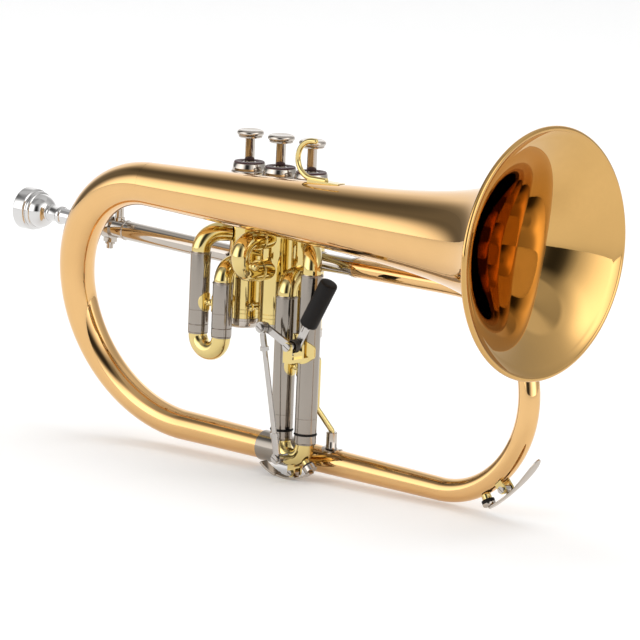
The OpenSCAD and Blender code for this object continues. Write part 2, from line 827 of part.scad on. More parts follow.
module trigger_lever() {
    grip_x = pivot_x + grip_start * cos(grip_angle);
    grip_z = pivot_z + grip_start * sin(grip_angle);
    color(steel)
        difference() {
            union() {
                along_y(pivot_x, pivot_z, ear_front_y + ear_t + 0.2, ear_back_y - 0.2, 2.7);
                bar_xz(pivot_x, pivot_z, crank_x, crank_z, crank_y, 2, 4.4);
                along_y(crank_x, crank_z, crank_y, crank_y + 2, 2.8);
                bar_xz(pivot_x, pivot_z, grip_x, grip_z, grip_y - 1.2, 1.6, 4.6);
                translate([grip_x, grip_y, grip_z])
                    rotate([0, 90 - grip_angle, 0]) {
                        translate([0, 0, -4]) cylinder(r = 1.9, h = 6);
                        cylinder(r = 1.6, h = grip_len - 6);
                    }
            }
            along_y(pivot_x, pivot_z, -20, 4, 1.5 + run_gap);
            along_y(crank_x, crank_z, -20, 4, 1);
            translate([pivot_x - 4, ear_back_y - 0.2, pivot_z - 4]) cube([8, 4, 8]);
        }
}

module trigger_grip() {
    color(black)
        translate([pivot_x + grip_start * cos(grip_angle), grip_y,
                   pivot_z + grip_start * sin(grip_angle)])
            rotate([0, 90 - grip_angle, 0])
                difference() {
                    rotate_extrude()
                        polygon([[0, 2], [grip_r - 0.5, 2], [grip_r, 2.5],
                                 [grip_r, grip_len - 0.8], [grip_r - 0.8, grip_len],
                                 [0, grip_len]]);
                    translate([0, 0, -1]) cylinder(r = 1.6, h = grip_len - 5);
                }
}

rod_top = [crank_x, crank_y - 0.4 - eye_w / 2, crank_z];
rod_low = [lower_ball_x, lower_ball_y, lower_ball_z];

module rod_eye(p) {
    along_y(p[0], p[2], p[1] - eye_w / 2, p[1] + eye_w / 2, eye_r);
}

module rod_eye_bore(p) {
    along_y(p[0], p[2], p[1] - eye_w, p[1] + eye_w, eye_bore);
}

function on_rod(d) = rod_top + (rod_low - rod_top) * d / norm(rod_low - rod_top);

module linkage_rod() {
    span = norm(rod_low - rod_top);
    color(steel)
        difference() {
            union() {
                rod_eye(rod_top);
                rod_eye(rod_low);
                rod_between(on_rod(2), on_rod(span - 2), 1.6);
                rod_between(on_rod(4.5), on_rod(12), 2);
                rod_between(on_rod(span - 14), on_rod(span - 2), 2.3);
                rod_between(on_rod(12), on_rod(14.6), 2.8, $fn = 6);
                rod_between(on_rod(span - 16), on_rod(span - 13.6), 2.8, $fn = 6);
            }
            rod_eye_bore(rod_top);
            rod_eye_bore(rod_low);
        }
}

// Screw with a ball that sits in a rod eye
module ball_screw(p, y_end) {
    cross_screw(p[0], p[2], p[1] - eye_w / 2 - 0.3, y_end, 1, 2.5);
    translate(p) sphere(r = ball_r);
}

module upper_ball_screw() {
    color(steel) ball_screw(rod_top, crank_y + 2);
}

module lower_ball_screw() {
    color(steel)
        difference() {
            union() {
                ball_screw(rod_low, slide_y - 3);
                along_y(rod_low[0], rod_low[2], rod_low[1] + eye_w / 2 + 0.5, slide_y - 3, 2.2);
            }
            translate([crook_3_x, slide_y, slide_3_end]) u_solid(leg_gap / 2, tube_r);
        }
}

// ---------- water keys ----------

// Piece that stands off a bend's outside at a polar angle in the XZ plane
module stand_off(cx, y, cz, angle, d0, d1, r) {
    translate([cx, y, cz])
        rotate([0, 90 - angle, 0])
            translate([0, 0, d0]) cylinder(r = r, h = d1 - d0);
}

// Curved plate of the XZ plane with its arc centred on cx and cz
module arc_plate(cx, cz, r, a0, a1, y0, w, t) {
    translate([cx, y0 + w, cz])
        rotate([90, 0, 0])
            rotate_extrude(angle = a1 - a0, start = a0, $fn = 128)
                translate([r, 0]) square([t, w]);
}

module third_key_saddle() {
    color(yellow)
        difference() {
            union() {
                for (y = [key_y - 3.9, key_y + 2.5]) {
                    translate([third_pivot_x - 2.6, y, third_pivot_z])
                        cube([5.2, 1.4, 8]);
                    along_y(third_pivot_x, third_pivot_z, y, y + 1.4, 2.6);
                }
                stand_off(crook_3_x, key_y, slide_3_end, -45, 14, 17.4, nipple_r);
            }
            translate([crook_3_x, slide_y, slide_3_end]) u_solid(leg_gap / 2, tube_r);
            along_y(third_pivot_x, third_pivot_z, key_y - 8, key_y + 8, 1);
            stand_off(crook_3_x, key_y, slide_3_end, -45, 12, 18, 1.5);
        }
}

module third_key_screw() {
    color(steel) cross_screw(third_pivot_x, third_pivot_z, key_y - 3.9, key_y + 3.9, 1, 1.9);
}

module third_key_lever() {
    color(nickel)
        difference() {
            union() {
                arc_plate(third_arc_x, third_arc_z, third_arc_r - 1.2, 233, 306,
                          key_y - 2.2, 4.4, 1.2);
                arc_plate(third_arc_x, third_arc_z, third_arc_r - 1.35, 232, 256,
                          key_y - 3, 6, 1.5);
                along_y(third_pivot_x, third_pivot_z, key_y - 2.2, key_y + 2.2, 2.1);
                translate([third_pivot_x - 1.8, key_y - 2.2, third_pivot_z - 4.2])
                    cube([3.6, 4.4, 4.2]);
                stand_off(crook_3_x, key_y, slide_3_end, -45, 19, 22.4, cup_r);
            }
            along_y(third_pivot_x, third_pivot_z, key_y - 8, key_y + 8, 1 + run_gap);
            stand_off(crook_3_x, key_y, slide_3_end, -45, 18, 20.6, cork_r);
        }
}

module third_key_cork() {
    color(black) stand_off(crook_3_x, key_y, slide_3_end, -45, 17.7, 20.6, cork_r);
}

front_pivot_x = front_x + front_pivot_d * cos(front_pivot_a);
front_pivot_z = front_bend_z + front_pivot_d * sin(front_pivot_a);
front_key_skin = front_bend + 6.9;
front_lever_mid = [front_x + 76.4 * cos(front_pivot_a), front_bend_z + 76.4 * sin(front_pivot_a)];
front_lever_dir = 41;
front_tip_a = -35;
front_arc_x = front_lever_mid[0] - front_arc_r * cos(front_lever_dir - 90);
front_arc_z = front_lever_mid[1] - front_arc_r * sin(front_lever_dir - 90);

// Solid stand-in of the front bow's bend, for cutting what is soldered on it
module front_bow_core() {
    translate([front_x, front_key_y, front_bend_z])
        rotate([90, 0, 0])
            rotate_extrude(angle = 90, start = 270, $fn = 256)
                translate([front_bend, 0]) circle(r = 7.15, $fn = 64);
}

module front_key_saddle() {
    color(yellow)
        difference() {
            union() {
                for (y = [front_key_y - 4.3, front_key_y + 2.9]) {
                    translate([front_pivot_x, y, front_pivot_z])
                        rotate([0, -front_pivot_a, 0])
                            translate([-8, 0, -2.8]) cube([8, 1.4, 5.6]);
                    along_y(front_pivot_x, front_pivot_z, y, y + 1.4, 2.8);
                }
                stand_off(front_x, front_key_y, front_bend_z, front_nipple_a,
                          front_key_skin - 3, front_key_skin + 2.6, nipple_r + 0.4);
            }
            front_bow_core();
            along_y(front_pivot_x, front_pivot_z, front_key_y - 8, front_key_y + 8, 1);
            stand_off(front_x, front_key_y, front_bend_z, front_nipple_a, 60,
                      front_key_skin + 3, 1.6);
        }
}

module front_key_screw() {
    color(steel)
        cross_screw(front_pivot_x, front_pivot_z, front_key_y - 4.3, front_key_y + 4.3, 1, 2.2);
}

module front_key_lever() {
    cup_d = front_key_skin + 5.2;
    color(nickel)
        difference() {
            union() {
                arc_plate(front_arc_x, front_arc_z, front_arc_r, -57.2, front_tip_a,
                          front_key_y - 2.6, 5.2, 1.3);
                arc_plate(front_arc_x, front_arc_z, front_arc_r - 0.15, -43, front_tip_a + 2,
                          front_key_y - 3.8, 7.6, 1.6);
                along_y(front_pivot_x, front_pivot_z, front_key_y - 2.4, front_key_y + 2.4, 2.2);
                translate([front_pivot_x, front_key_y - 2.2, front_pivot_z])
                    rotate([0, -front_pivot_a, 0])
                        translate([0, 0, -1.8]) cube([3.8, 4.4, 3.6]);
                stand_off(front_x, front_key_y, front_bend_z, front_nipple_a, cup_d, cup_d + 2.4,
                          cup_r + 0.1);
            }
            along_y(front_pivot_x, front_pivot_z, front_key_y - 8, front_key_y + 8,
                    1 + run_gap);
        }
}

module front_key_cork() {
    color(black)
        stand_off(front_x, front_key_y, front_bend_z, front_nipple_a, front_key_skin + 2.9,
                  front_key_skin + 5.2, cup_r - 0.2);
}

// ---------- leadpipe and mouthpiece ----------

// Places its children along the leadpipe: Z runs from the first valve to the mouthpiece
module on_lead() {
    translate([valve_1_x, valve_y, lead_z])
        rotate([0, lead_tilt, 0]) rotate([0, -90, 0]) children();
}

module receiver() {
    color(nickel)
        difference() {
            on_lead()
                difference() {
                    union() {
                        cylinder(r = receiver_r, h = receiver_end);
                        translate([0, 0, 100]) cylinder(r = receiver_r + 0.4, h = 1.4);
                    }
                    translate([0, 0, -1]) cylinder(r = receiver_r - 0.7, h = 121);
                }
            translate([valve_1_x, valve_y, -100]) cylinder(r = casing_r, h = 130);
        }
}

module tuning_pipe() {
    r = receiver_r - 0.7 - run_gap;
    color(yellow)
        on_lead()
            rotate_extrude()
                polygon([[r - 0.7, 62], [r, 62], [r, 120.5], [6.3, 121.5], [6.3, 124], [6.9, 125],
                         [6.9, 136], [7.4, 137], [7.4, 140], [4.85, 140], [4.85, 122.5],
                         [r - 0.7, 120]]);
}

module mouthpiece() {
    r = mouth_r;
    m = mouth_reach;
    shank = [[2.2, m - 64], [4.3, m - 64], [4.8, m - 56], [4.8, m - 36], [4.5, m - 34.5],
             [4.5, m - 33], [5.5, m - 32.4], [5.9, m - 31], [5.5, m - 29.6], [4.5, m - 29],
             [4.5, m - 23.2], [5.3, m - 22.7], [5.3, m - 21.4]];
    bowl = [[4.9, m - 20.9], [6.6, m - 20.1], [8.6, m - 18.2], [10, m - 16], [10.8, m - 13.6],
            [10.9, m - 12.3]];
    step = [[11.7, m - 12], [12.2, m - 11.1], [12.2, m - 10], [11.7, m - 9.1], [12, m - 8.2],
            [r - 0.5, m - 7.4], [r, m - 6.9]];
    rim = [for (a = [0:18:90]) [r - 1.6 + 1.6 * cos(a), m - 1.6 + 1.6 * sin(a)]];
    cup = [[8.9, m - 0.6], [8.4, m - 2], [8, m - 6], [7, m - 10.5], [5.2, m - 14.5],
           [3.4, m - 17], [2.2, m - 18.5]];
    color(silver) on_lead() rotate_extrude() polygon(concat(shank, bowl, step, rim, cup));
}

module clamp_collar() {
    z0 = receiver_end - collar_h;
    color(nickel)
        on_lead()
            difference() {
                union() {
                    translate([0, 0, z0]) cylinder(r = receiver_r + 1.4, h = collar_h);
                    translate([-9.4, -2.6, z0]) cube([6, 5.2, collar_h]);
                }
                translate([0, 0, z0 - 5]) cylinder(r = receiver_r, h = 30);
                translate([-14, 0, z0 + collar_h / 2])
                    rotate([0, 90, 0]) cylinder(r = clamp_r + run_gap, h = 10);
            }
}

module clamp_screw() {
    color(nickel)
        on_lead()
            translate([-6.6, 0, receiver_end - collar_h / 2])
                rotate([0, -90, 0]) {
                    cylinder(r = clamp_r, h = 3.1);
                    translate([0, 0, 3.1]) cylinder(r = 3.3, h = 1);
                    translate([0, 0, 4.1]) cylinder(r = 2.2, h = 3);
                }
}

// Post from the receiver up to the rear bow
module receiver_brace() {
    x = valve_1_x - 107.5;
    z0 = lead_z + 107.5 * tan(lead_tilt);
    corner_z = -16;
    color(nickel)
        difference() {
            union() {
                translate([x, valve_y, z0]) cylinder(r = 2.7, h = corner_z - z0);
                translate([x, valve_y, z0 + 5]) cylinder(r = 3.6, h = 2.4);
                translate([x, valve_y, corner_z]) sphere(r = 2.9);
                rod_between([x, valve_y, corner_z], [x, 10, -24], 2.7);
            }
            on_lead() cylinder(r = receiver_r, h = 130);
            rear_core();
        }
}

// Solid stand-in of the rear bow where its brace meets it
module rear_core() {
    a = brace_turn;
    p = [rear_end_x + rear_reach * (1 - sin(a)), lean * -rear_up * (1 - cos(a)),
         -rear_up * (1 - cos(a))];
    d = [-rear_reach * cos(a), 0, -rear_up * sin(a)] / 5;
    rod_between(p - d, p + d, stem_end_r + (rear_mid_r - stem_end_r) * a / 90);
}

// ---------- stays and hook ----------

// Stays between the casings and the bell's stem, with a plate on the bell
module bell_stays() {
    z = -9;
    color(yellow)
        for (i = [1, 3])
            difference() {
                union() {
                    along_y(valve_x(i), z, 6, valve_y - 4, 2.4);
                    along_y(valve_x(i), z, 6, 18, 7);
                }
                translate([valve_x(i), valve_y, -50]) cylinder(r = casing_r, h = 80);
                rotate([0, -90, 0])
                    rotate_extrude($fn = 96)
                        polygon([[0, 150], [bell_profile_r(150) + 0.02, 150],
                                 [bell_profile_r(225) + 0.02, 225],
                                 [bell_profile_r(300) + 0.02, 300], [0, 300]]);
                difference() {
                    along_y(valve_x(i), z, 5, 19, 8);
                    along_y(valve_x(i), z, 4, 20, 2.4);
                    rotate([0, -90, 0])
                        rotate_extrude($fn = 96)
                            polygon([[0, 150], [bell_profile_r(150) + 0.9, 150],
                                     [bell_profile_r(225) + 0.9, 225],
                                     [bell_profile_r(300) + 0.9, 300], [0, 300]]);
                }
            }
}

// Bent rod from the third slide's front sleeve down to its socket on the bottom tube
module bottom_brace() {
    top = [slide_3_x + leg_gap + 1, slide_y + 8.4, -92];
    bend = [top[0], top[1], -124];
    foot = [-184, bottom_y, -138.5];
    tube_z = bottom_z(foot[0]);
    color(yellow)
        difference() {
            union() {
                rod_between(top, bend, 1.7);
                translate(bend) sphere(r = 1.7);
                rod_between(bend, foot, 1.7);
                translate(foot) sphere(r = 1.7);
                translate(top) sphere(r = 1.7);
                rod_between(top, [slide_3_x + leg_gap, slide_y, -92], 1.7);
                translate([foot[0], foot[1], -149.5]) cylinder(r = 3.3, h = 10.5);
                translate([foot[0], foot[1], tube_z + 6.4]) cylinder(r = 5.4, h = 2.4);
            }
            translate([slide_3_x + leg_gap, slide_y, -110]) cylinder(r = sleeve_3_r, h = 60);
            translate([foot[0] - 20, lean * tube_z, tube_z + 20 * bottom_slope])
                rotate([0, 90 + atan(bottom_slope), 0])
                    cylinder(r = bottom_r(foot[0]) + 0.02, h = 40);
        }
}

module pinky_hook() {
    hook_r = 11.5;
    wire = 1.7;
    x = -184.5;
    crest = bell_profile_r(-x);
    z = crest + wire + 0.1 + hook_r;
    color(yellow)
        difference() {
            union() {
                translate([x, 0, z])
                    rotate([90, 0, 0])
                        rotate_extrude(angle = 180, start = 90)
                            translate([hook_r, 0]) circle(r = wire, $fn = 32);
                translate([x, 0, z + hook_r]) rotate([0, 90, 0]) cylinder(r = wire, h = 2);
                translate([x + 2, 0, z + hook_r]) sphere(r = wire, $fn = 32);
                translate([x, 0, z - hook_r]) rotate([0, 90, 0]) cylinder(r = wire, h = 12);
                translate([x - 1, -3.2, crest - 1]) cube([25, 6.4, 2.6]);
            }
            rotate([0, -90, 0])
                rotate_extrude($fn = 96)
                    polygon([[0, 150], [bell_profile_r(150) + 0.02, 150],
                             [bell_profile_r(175) + 0.02, 175],
                             [bell_profile_r(205) + 0.02, 205], [0, 205]]);
        }
}

bell();
rim_wire();
rear_bow();
bottom_ferrule();
front_bow();
outlet_ferrule();
valve_casing(1);  // valve_casing_1
valve_casing(2);  // valve_casing_2
valve_casing(3);  // valve_casing_3
intervalve_tubes();
top_caps();
bottom_caps();
cap_felts();
piston(1);  // piston_1
piston(2);  // piston_2
piston(3);  // piston_3
finger_button(1);  // finger_button_1
finger_button(2);  // finger_button_2
finger_button(3);  // finger_button_3
valve_spring(1);  // valve_spring_1
valve_spring(2);  // valve_spring_2
valve_spring(3);  // valve_spring_3
first_slide_knuckles();
first_slide_sleeves();
first_slide_legs();
first_slide_crook();
second_slide_sleeves();
second_slide_legs();
second_slide_crook();
third_slide_knuckles();
third_slide_sleeves();
third_slide_legs();
third_slide_o_rings();
third_slide_crook();
slide_braces();
trigger_bracket();
trigger_pivot_screw();
trigger_spring();
trigger_lever();
trigger_grip();
linkage_rod();
upper_ball_screw();
lower_ball_screw();
third_key_saddle();
third_key_screw();
third_key_lever();
third_key_cork();
front_key_saddle();
front_key_screw();
front_key_lever();
front_key_cork();
receiver();
tuning_pipe();
mouthpiece();
clamp_collar();
clamp_screw();
receiver_brace();
bell_stays();
bottom_brace();
pinky_hook();
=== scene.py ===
"""Looks of the flugelhorn: smooth metal shells, detailed fittings, studio light and camera."""

import json
import math

import bmesh
import bpy
from mathutils import Euler, Matrix, Vector


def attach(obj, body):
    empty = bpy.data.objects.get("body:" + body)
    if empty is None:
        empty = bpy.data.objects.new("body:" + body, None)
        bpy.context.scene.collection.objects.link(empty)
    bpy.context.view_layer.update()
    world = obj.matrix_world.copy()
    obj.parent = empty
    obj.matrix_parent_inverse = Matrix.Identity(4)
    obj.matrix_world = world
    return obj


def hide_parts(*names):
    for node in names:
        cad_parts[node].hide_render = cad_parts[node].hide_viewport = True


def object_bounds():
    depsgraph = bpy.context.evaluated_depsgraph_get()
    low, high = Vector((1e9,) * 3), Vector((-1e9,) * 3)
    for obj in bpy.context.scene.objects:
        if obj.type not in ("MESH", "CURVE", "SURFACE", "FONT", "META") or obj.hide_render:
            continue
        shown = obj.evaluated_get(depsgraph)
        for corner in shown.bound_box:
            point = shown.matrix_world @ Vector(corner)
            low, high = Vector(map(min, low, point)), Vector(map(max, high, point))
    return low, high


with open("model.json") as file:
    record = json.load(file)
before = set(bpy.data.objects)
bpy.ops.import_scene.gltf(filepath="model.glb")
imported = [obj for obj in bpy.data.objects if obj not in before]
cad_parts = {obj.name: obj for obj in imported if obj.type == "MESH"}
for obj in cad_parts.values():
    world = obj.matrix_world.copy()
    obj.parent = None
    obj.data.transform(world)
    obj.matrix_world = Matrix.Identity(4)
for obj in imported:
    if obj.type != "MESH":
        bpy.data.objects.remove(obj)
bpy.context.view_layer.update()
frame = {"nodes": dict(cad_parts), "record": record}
NODES = frame["nodes"]
MM = 0.001

# ---------------------------------------------------------------- sizes, in millimetres

# Bell: a flare on a stem that tapers a little, with a rolled rim and a thin wall
BELL_R = 76.2
BEAD_R = 1.7
THROAT_R = 24.1
FLARE_LEN = 65.8
FLARE_POWER = 2.68
STEM_TAPER = 0.0342
BELL_LEN = 316.6
SHEET = 0.8

# Rear bow: a quarter ellipse behind the bell, and a longer one down to the bottom tube
REAR_REACH = 70.8
REAR_UP = 72.8
REAR_LOW_LEN = 85.0
REAR_LOW = 81.5
REAR_MID_R = 10.9
REAR_LOW_R = 9.4
REAR_END_X = -BELL_LEN - REAR_REACH
REAR_LOW_X = REAR_END_X + REAR_LOW_LEN
REAR_LOW_Z = -REAR_UP - REAR_LOW

# Bottom tube: both bows meet it, and their planes lean towards the valves
BOTTOM_Y = 28.5
LEAN = BOTTOM_Y / REAR_LOW_Z
BOTTOM_SLOPE = 0.0306
BOTTOM_TAPER = 0.0102
BOTTOM_JOINT_X = -225.0
JOINT_HALF_GAP = 1

# Valves, and the front bow that leads from the third valve to the bottom tube
VALVE_Y = 34.0
VALVE_X = [-265.0, -239.5, -214.0]
OUTLET_Z = -36.0
OUTLET_END_X = -174.0
FRONT_X = -95.3
FRONT_BEND = 62.3
BOW_IN_R = 5.9


def bell_r(s):
    """Outer radius of the bell, s millimetres behind the rim."""
    flare = (BELL_R - BEAD_R - THROAT_R) * (FLARE_LEN / (FLARE_LEN + s)) ** FLARE_POWER
    return THROAT_R + flare - STEM_TAPER * s


def bottom_z(x):
    """Height of the bottom tube's axis."""
    return REAR_LOW_Z - BOTTOM_SLOPE * (x - REAR_LOW_X)


def bottom_r(x):
    """Outer radius of the bottom tube."""
    return REAR_LOW_R - BOTTOM_TAPER * (x - REAR_LOW_X)


# ---------------------------------------------------------------- materials

# Noise scales are in cycles per metre, and bump distances in metres
CLOUD_SCALE = 22.0
SCRATCH_DEPTH = 0.0002
RUBBER_DEPTH = 0.0003
COAT_ROUGHNESS = 0.03
COAT_IOR = 1.5


class Graph:
    """Short names for building one material's nodes."""

    def __init__(self, name):
        self.material = bpy.data.materials.new(name)
        self.material.use_nodes = True
        self.tree = self.material.node_tree
        self.shader = self.tree.nodes["Principled BSDF"]

    def node(self, kind):
        return self.tree.nodes.new(kind)

    def link(self, source, target):
        self.tree.links.new(source, target)

    def coordinates(self, scale=(1, 1, 1)):
        """Object coordinates in metres, stretched by scale."""
        place = self.node("ShaderNodeTexCoord")
        mapping = self.node("ShaderNodeMapping")
        mapping.inputs["Scale"].default_value = scale
        self.link(place.outputs["Object"], mapping.inputs["Vector"])
        return mapping.outputs["Vector"]

    def noise(self, vector, scale, detail, roughness=0.5):
        made = self.node("ShaderNodeTexNoise")
        made.inputs["Scale"].default_value = scale
        made.inputs["Detail"].default_value = detail
        made.inputs["Roughness"].default_value = roughness
        self.link(vector, made.inputs["Vector"])
        return made.outputs["Fac"]

    def ramp(self, source, stops):
        """Colour ramp with stops of (place, colour)."""
        made = self.node("ShaderNodeValToRGB")
        elements = made.color_ramp.elements
        while len(elements) < len(stops):
            elements.new(0.5)
        for element, (place, colour) in zip(elements, stops):
            element.position = place
            element.color = (*colour, 1)
        self.link(source, made.inputs["Fac"])
        return made.outputs["Color"]

    def span(self, source, low, high):
        """Stretches a value of 0 to 1 over low to high."""
        made = self.node("ShaderNodeMapRange")
        made.inputs["To Min"].default_value = low
        made.inputs["To Max"].default_value = high
        self.link(source, made.inputs["Value"])
        return made.outputs["Result"]

    def bump(self, height, strength, distance):
        made = self.node("ShaderNodeBump")
        made.inputs["Strength"].default_value = strength
        made.inputs["Distance"].default_value = distance
        self.link(height, made.inputs["Height"])
        self.link(made.outputs["Normal"], self.shader.inputs["Normal"])


def metal(name, dark, light, rough, stretch=(1, 1, 1), grain=900, bump=0.012, coat=0.0):
    """Polished or brushed metal: cloudy tone, uneven polish and fine scratches."""
    g = Graph(name)
    g.shader.inputs["Metallic"].default_value = 1.0
    cloud = g.noise(g.coordinates(), CLOUD_SCALE, 4.0)
    g.link(g.ramp(cloud, [(0.3, dark), (0.7, light)]), g.shader.inputs["Base Color"])
    scratch = g.noise(g.coordinates(stretch), grain, 2.0, 0.6)
    g.link(g.span(scratch, *rough), g.shader.inputs["Roughness"])
    g.bump(scratch, bump, SCRATCH_DEPTH)
    if coat:
        g.shader.inputs["Coat Weight"].default_value = coat
        g.shader.inputs["Coat Roughness"].default_value = COAT_ROUGHNESS
        g.shader.inputs["Coat IOR"].default_value = COAT_IOR
    return g.material


def rubber(name, dark, light, rough, grain, bump):
    """Dull material for rubber, cork and felt: one noise sets tone, roughness and bump."""
    g = Graph(name)
    tone = g.noise(g.coordinates(), grain, 4.0, 0.6)
    g.link(g.ramp(tone, [(0.35, dark), (0.65, light)]), g.shader.inputs["Base Color"])
    g.link(g.span(tone, *rough), g.shader.inputs["Roughness"])
    g.bump(tone, bump, RUBBER_DEPTH)
    return g.material


# Each material: darkest and lightest tone, then the range of its roughness
ROSE = metal("rose_brass", (0.755, 0.46, 0.19), (0.80, 0.495, 0.21), (0.02, 0.05), coat=0.2)
# Inside of the bell: the same rose brass painted darker, as painted shade in the bell's hollow
ROSE_SHADED_IN = metal("rose_brass_inside_shaded", (0.60, 0.357, 0.118), (0.65, 0.387, 0.132), (0.02, 0.05), coat=0.2)
YELLOW = metal("yellow_brass", (0.70, 0.545, 0.215), (0.75, 0.59, 0.245), (0.025, 0.06), coat=0.2)
NICKEL = metal("nickel_silver", (0.50, 0.45, 0.395), (0.56, 0.505, 0.45), (0.06, 0.12))
# Satin nickel: nickel silver painted darker than the caps' nickel, as painted shade that stands for the
# dark surroundings reflected in the sleeves
SATIN_SHADED = metal("satin_nickel_shaded", (0.325, 0.29, 0.25), (0.365, 0.325, 0.285), (0.08, 0.15),
              stretch=(6, 6, 0.25), bump=0.03)
STEEL = metal("bright_steel", (0.50, 0.475, 0.45), (0.58, 0.55, 0.52), (0.12, 0.22), grain=1500)
SILVER = metal("silver_plate", (0.66, 0.65, 0.64), (0.72, 0.71, 0.70), (0.03, 0.07))
SPRING = metal("blackened_wire", (0.05, 0.045, 0.04), (0.09, 0.08, 0.07), (0.3, 0.45))
BLACK = rubber("black_grip", (0.006, 0.005, 0.005), (0.012, 0.010, 0.009), (0.5, 0.7), 1800, 0.12)
BLACK.node_tree.nodes["Principled BSDF"].inputs["Specular IOR Level"].default_value = 0.2
CORK = rubber("black_cork", (0.012, 0.010, 0.009), (0.04, 0.03, 0.025), (0.6, 0.85), 2600, 0.4)
FELT = rubber("maroon_felt", (0.035, 0.008, 0.010), (0.085, 0.022, 0.026), (0.8, 1.0), 3800, 0.6)
FELT.node_tree.nodes["Principled BSDF"].inputs["Sheen Weight"].default_value = 0.4

MATERIALS = {
    "rose": ROSE, "yellow": YELLOW, "nickel": NICKEL, "steel": STEEL, "silver": SILVER,
    "black": BLACK, "dark_spring": SPRING, "felt": FELT,
}

# Edges sharper than these angles stay sharp, on CAD nodes and on new meshes
CAD_SHARP = math.radians(32)
MESH_SHARP = math.radians(40)

for part in frame["record"]["subparts"]:
    obj = NODES[part["node"]]
    obj.data.materials.clear()
    obj.data.materials.append(MATERIALS[part["material_slot"]])
NODES["third_key_cork"].data.materials[0] = CORK
for obj in NODES.values():
    obj.data.polygons.foreach_set("use_smooth", [True] * len(obj.data.polygons))
    obj.data.set_sharp_from_angle(angle=CAD_SHARP)

# ---------------------------------------------------------------- mesh helpers


def add_piece(name, bm, material, body, nodes):
    """Turns a bmesh in millimetres into a shown piece that stands for CAD nodes."""
    bmesh.ops.recalc_face_normals(bm, faces=bm.faces)
    mesh = bpy.data.meshes.new(name)
    bm.to_mesh(mesh)
    bm.free()
    mesh.transform(Matrix.Scale(MM, 4))
    mesh.polygons.foreach_set("use_smooth", [True] * len(mesh.polygons))
    mesh.set_sharp_from_angle(angle=MESH_SHARP)
    mesh.materials.append(material)
    piece = bpy.data.objects.new(name, mesh)
    bpy.context.scene.collection.objects.link(piece)
    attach(piece, body)
    if nodes:
        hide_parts(*nodes)
    return piece


def bridge(bm, rings, closed):
    """Joins a list of equal rings of vertices; closed also joins the last to the first."""
    pairs = list(zip(rings, rings[1:]))
    if closed:
        pairs.append((rings[-1], rings[0]))
    for first, second in pairs:
        count = len(first)
        for k in range(count):
            n = (k + 1) % count
            bm.faces.new((first[k], first[n], second[n], second[k]))


def lathe(bm, profile, place, sides=96):
    """Spins a closed profile of (radius, height) about Z; a radius of 0 makes a pole."""
    rings = []
    for radius, height in profile:
        if radius < 1e-6:
            rings.append([bm.verts.new(place @ Vector((0, 0, height)))])
            continue
        rings.append([
            bm.verts.new(place @ Vector((radius * math.cos(a), radius * math.sin(a), height)))
            for a in (math.tau * k / sides for k in range(sides))
        ])
    for i, first in enumerate(rings):
        second = rings[(i + 1) % len(rings)]
        if len(first) == 1 and len(second) == 1:
            continue
        for k in range(sides):
            n = (k + 1) % sides
            if len(first) == 1:
                bm.faces.new((first[0], second[n], second[k]))
            elif len(second) == 1:
                bm.faces.new((first[k], first[n], second[0]))
            else:
                bm.faces.new((first[k], first[n], second[n], second[k]))


def frames(path, across=None):
    """Two directions square to the path at each point, carried along without twist."""
    out = []
    side = None
    for i in range(len(path)):
        ahead = (path[min(i + 1, len(path) - 1)] - path[max(i - 1, 0)]).normalized()
        if side is None:
            side = across or ahead.orthogonal()
        side = (side - ahead * side.dot(ahead)).normalized()
        out.append((side, ahead.cross(side)))
    return out


def sweep(bm, path, radii, wall=None, sides=48, across=None):
    """Tube along a path: hollow with a wall, or solid without one."""
    if not isinstance(radii, list):
        radii = [radii] * len(path)
    turned = frames(path, across)
    shells = []
    for inset in (0, wall) if wall else (0,):
        rings = []
        for point, radius, (u, v) in zip(path, radii, turned):
            rings.append([
                bm.verts.new(point + (radius - inset) * (math.cos(a) * u + math.sin(a) * v))
                for a in (math.tau * k / sides for k in range(sides))
            ])
        shells.append(rings)
    if wall:
        bridge(bm, shells[0] + shells[1][::-1], closed=True)
    else:
        bridge(bm, shells[0], closed=False)
        bm.faces.new(shells[0][0])
        bm.faces.new(shells[0][-1])


def rounded_path(corners, bend):
    """Straight runs between corners, with each corner turned on the radius bend."""
    steps = 14
    path = [corners[0]]
    for before, corner, after in zip(corners, corners[1:], corners[2:]):
        back = (before - corner).normalized()
        on = (after - corner).normalized()
        half = back.angle(on) / 2
        centre = corner + (back + on).normalized() * bend / math.sin(half)
        start = corner + back * bend / math.tan(half) - centre
        end = corner + on * bend / math.tan(half) - centre
        turn = start.angle(end)
        axis = start.cross(end)
        path += [centre + Matrix.Rotation(turn * k / steps, 3, axis) @ start
                 for k in range(steps + 1)]
    return path + [corners[-1]]


def rod(bm, start, end, radius):
    """Solid round bar with a small chamfer at both ends."""
    chamfer = 0.15
    run = (end - start).normalized() * chamfer
    path = [start, start + run, end - run, end]
    sweep(bm, path, [radius - chamfer, radius, radius, radius - chamfer], sides=32)


def upright(x, y, z=0.0):
    """Place whose local Z points up."""
    return Matrix.Translation((x, y, z))


def facing(x, y, z, direction):
    """Place whose local Z points along direction."""
    turn = Vector(direction).to_track_quat("Z", "X").to_matrix().to_4x4()
    return Matrix.Translation((x, y, z)) @ turn


def oval(cx, cy, rx, ry, start, end, steps):
    """Points on an ellipse, angles in degrees."""
    turns = [math.radians(start + (end - start) * i / steps) for i in range(steps + 1)]
    return [(cx + rx * math.cos(a), cy + ry * math.sin(a)) for a in turns]


def arc(cx, cy, radius, start, end, steps):
    """Points on a circle, angles in degrees."""
    return oval(cx, cy, radius, radius, start, end, steps)


# ---------------------------------------------------------------- bell


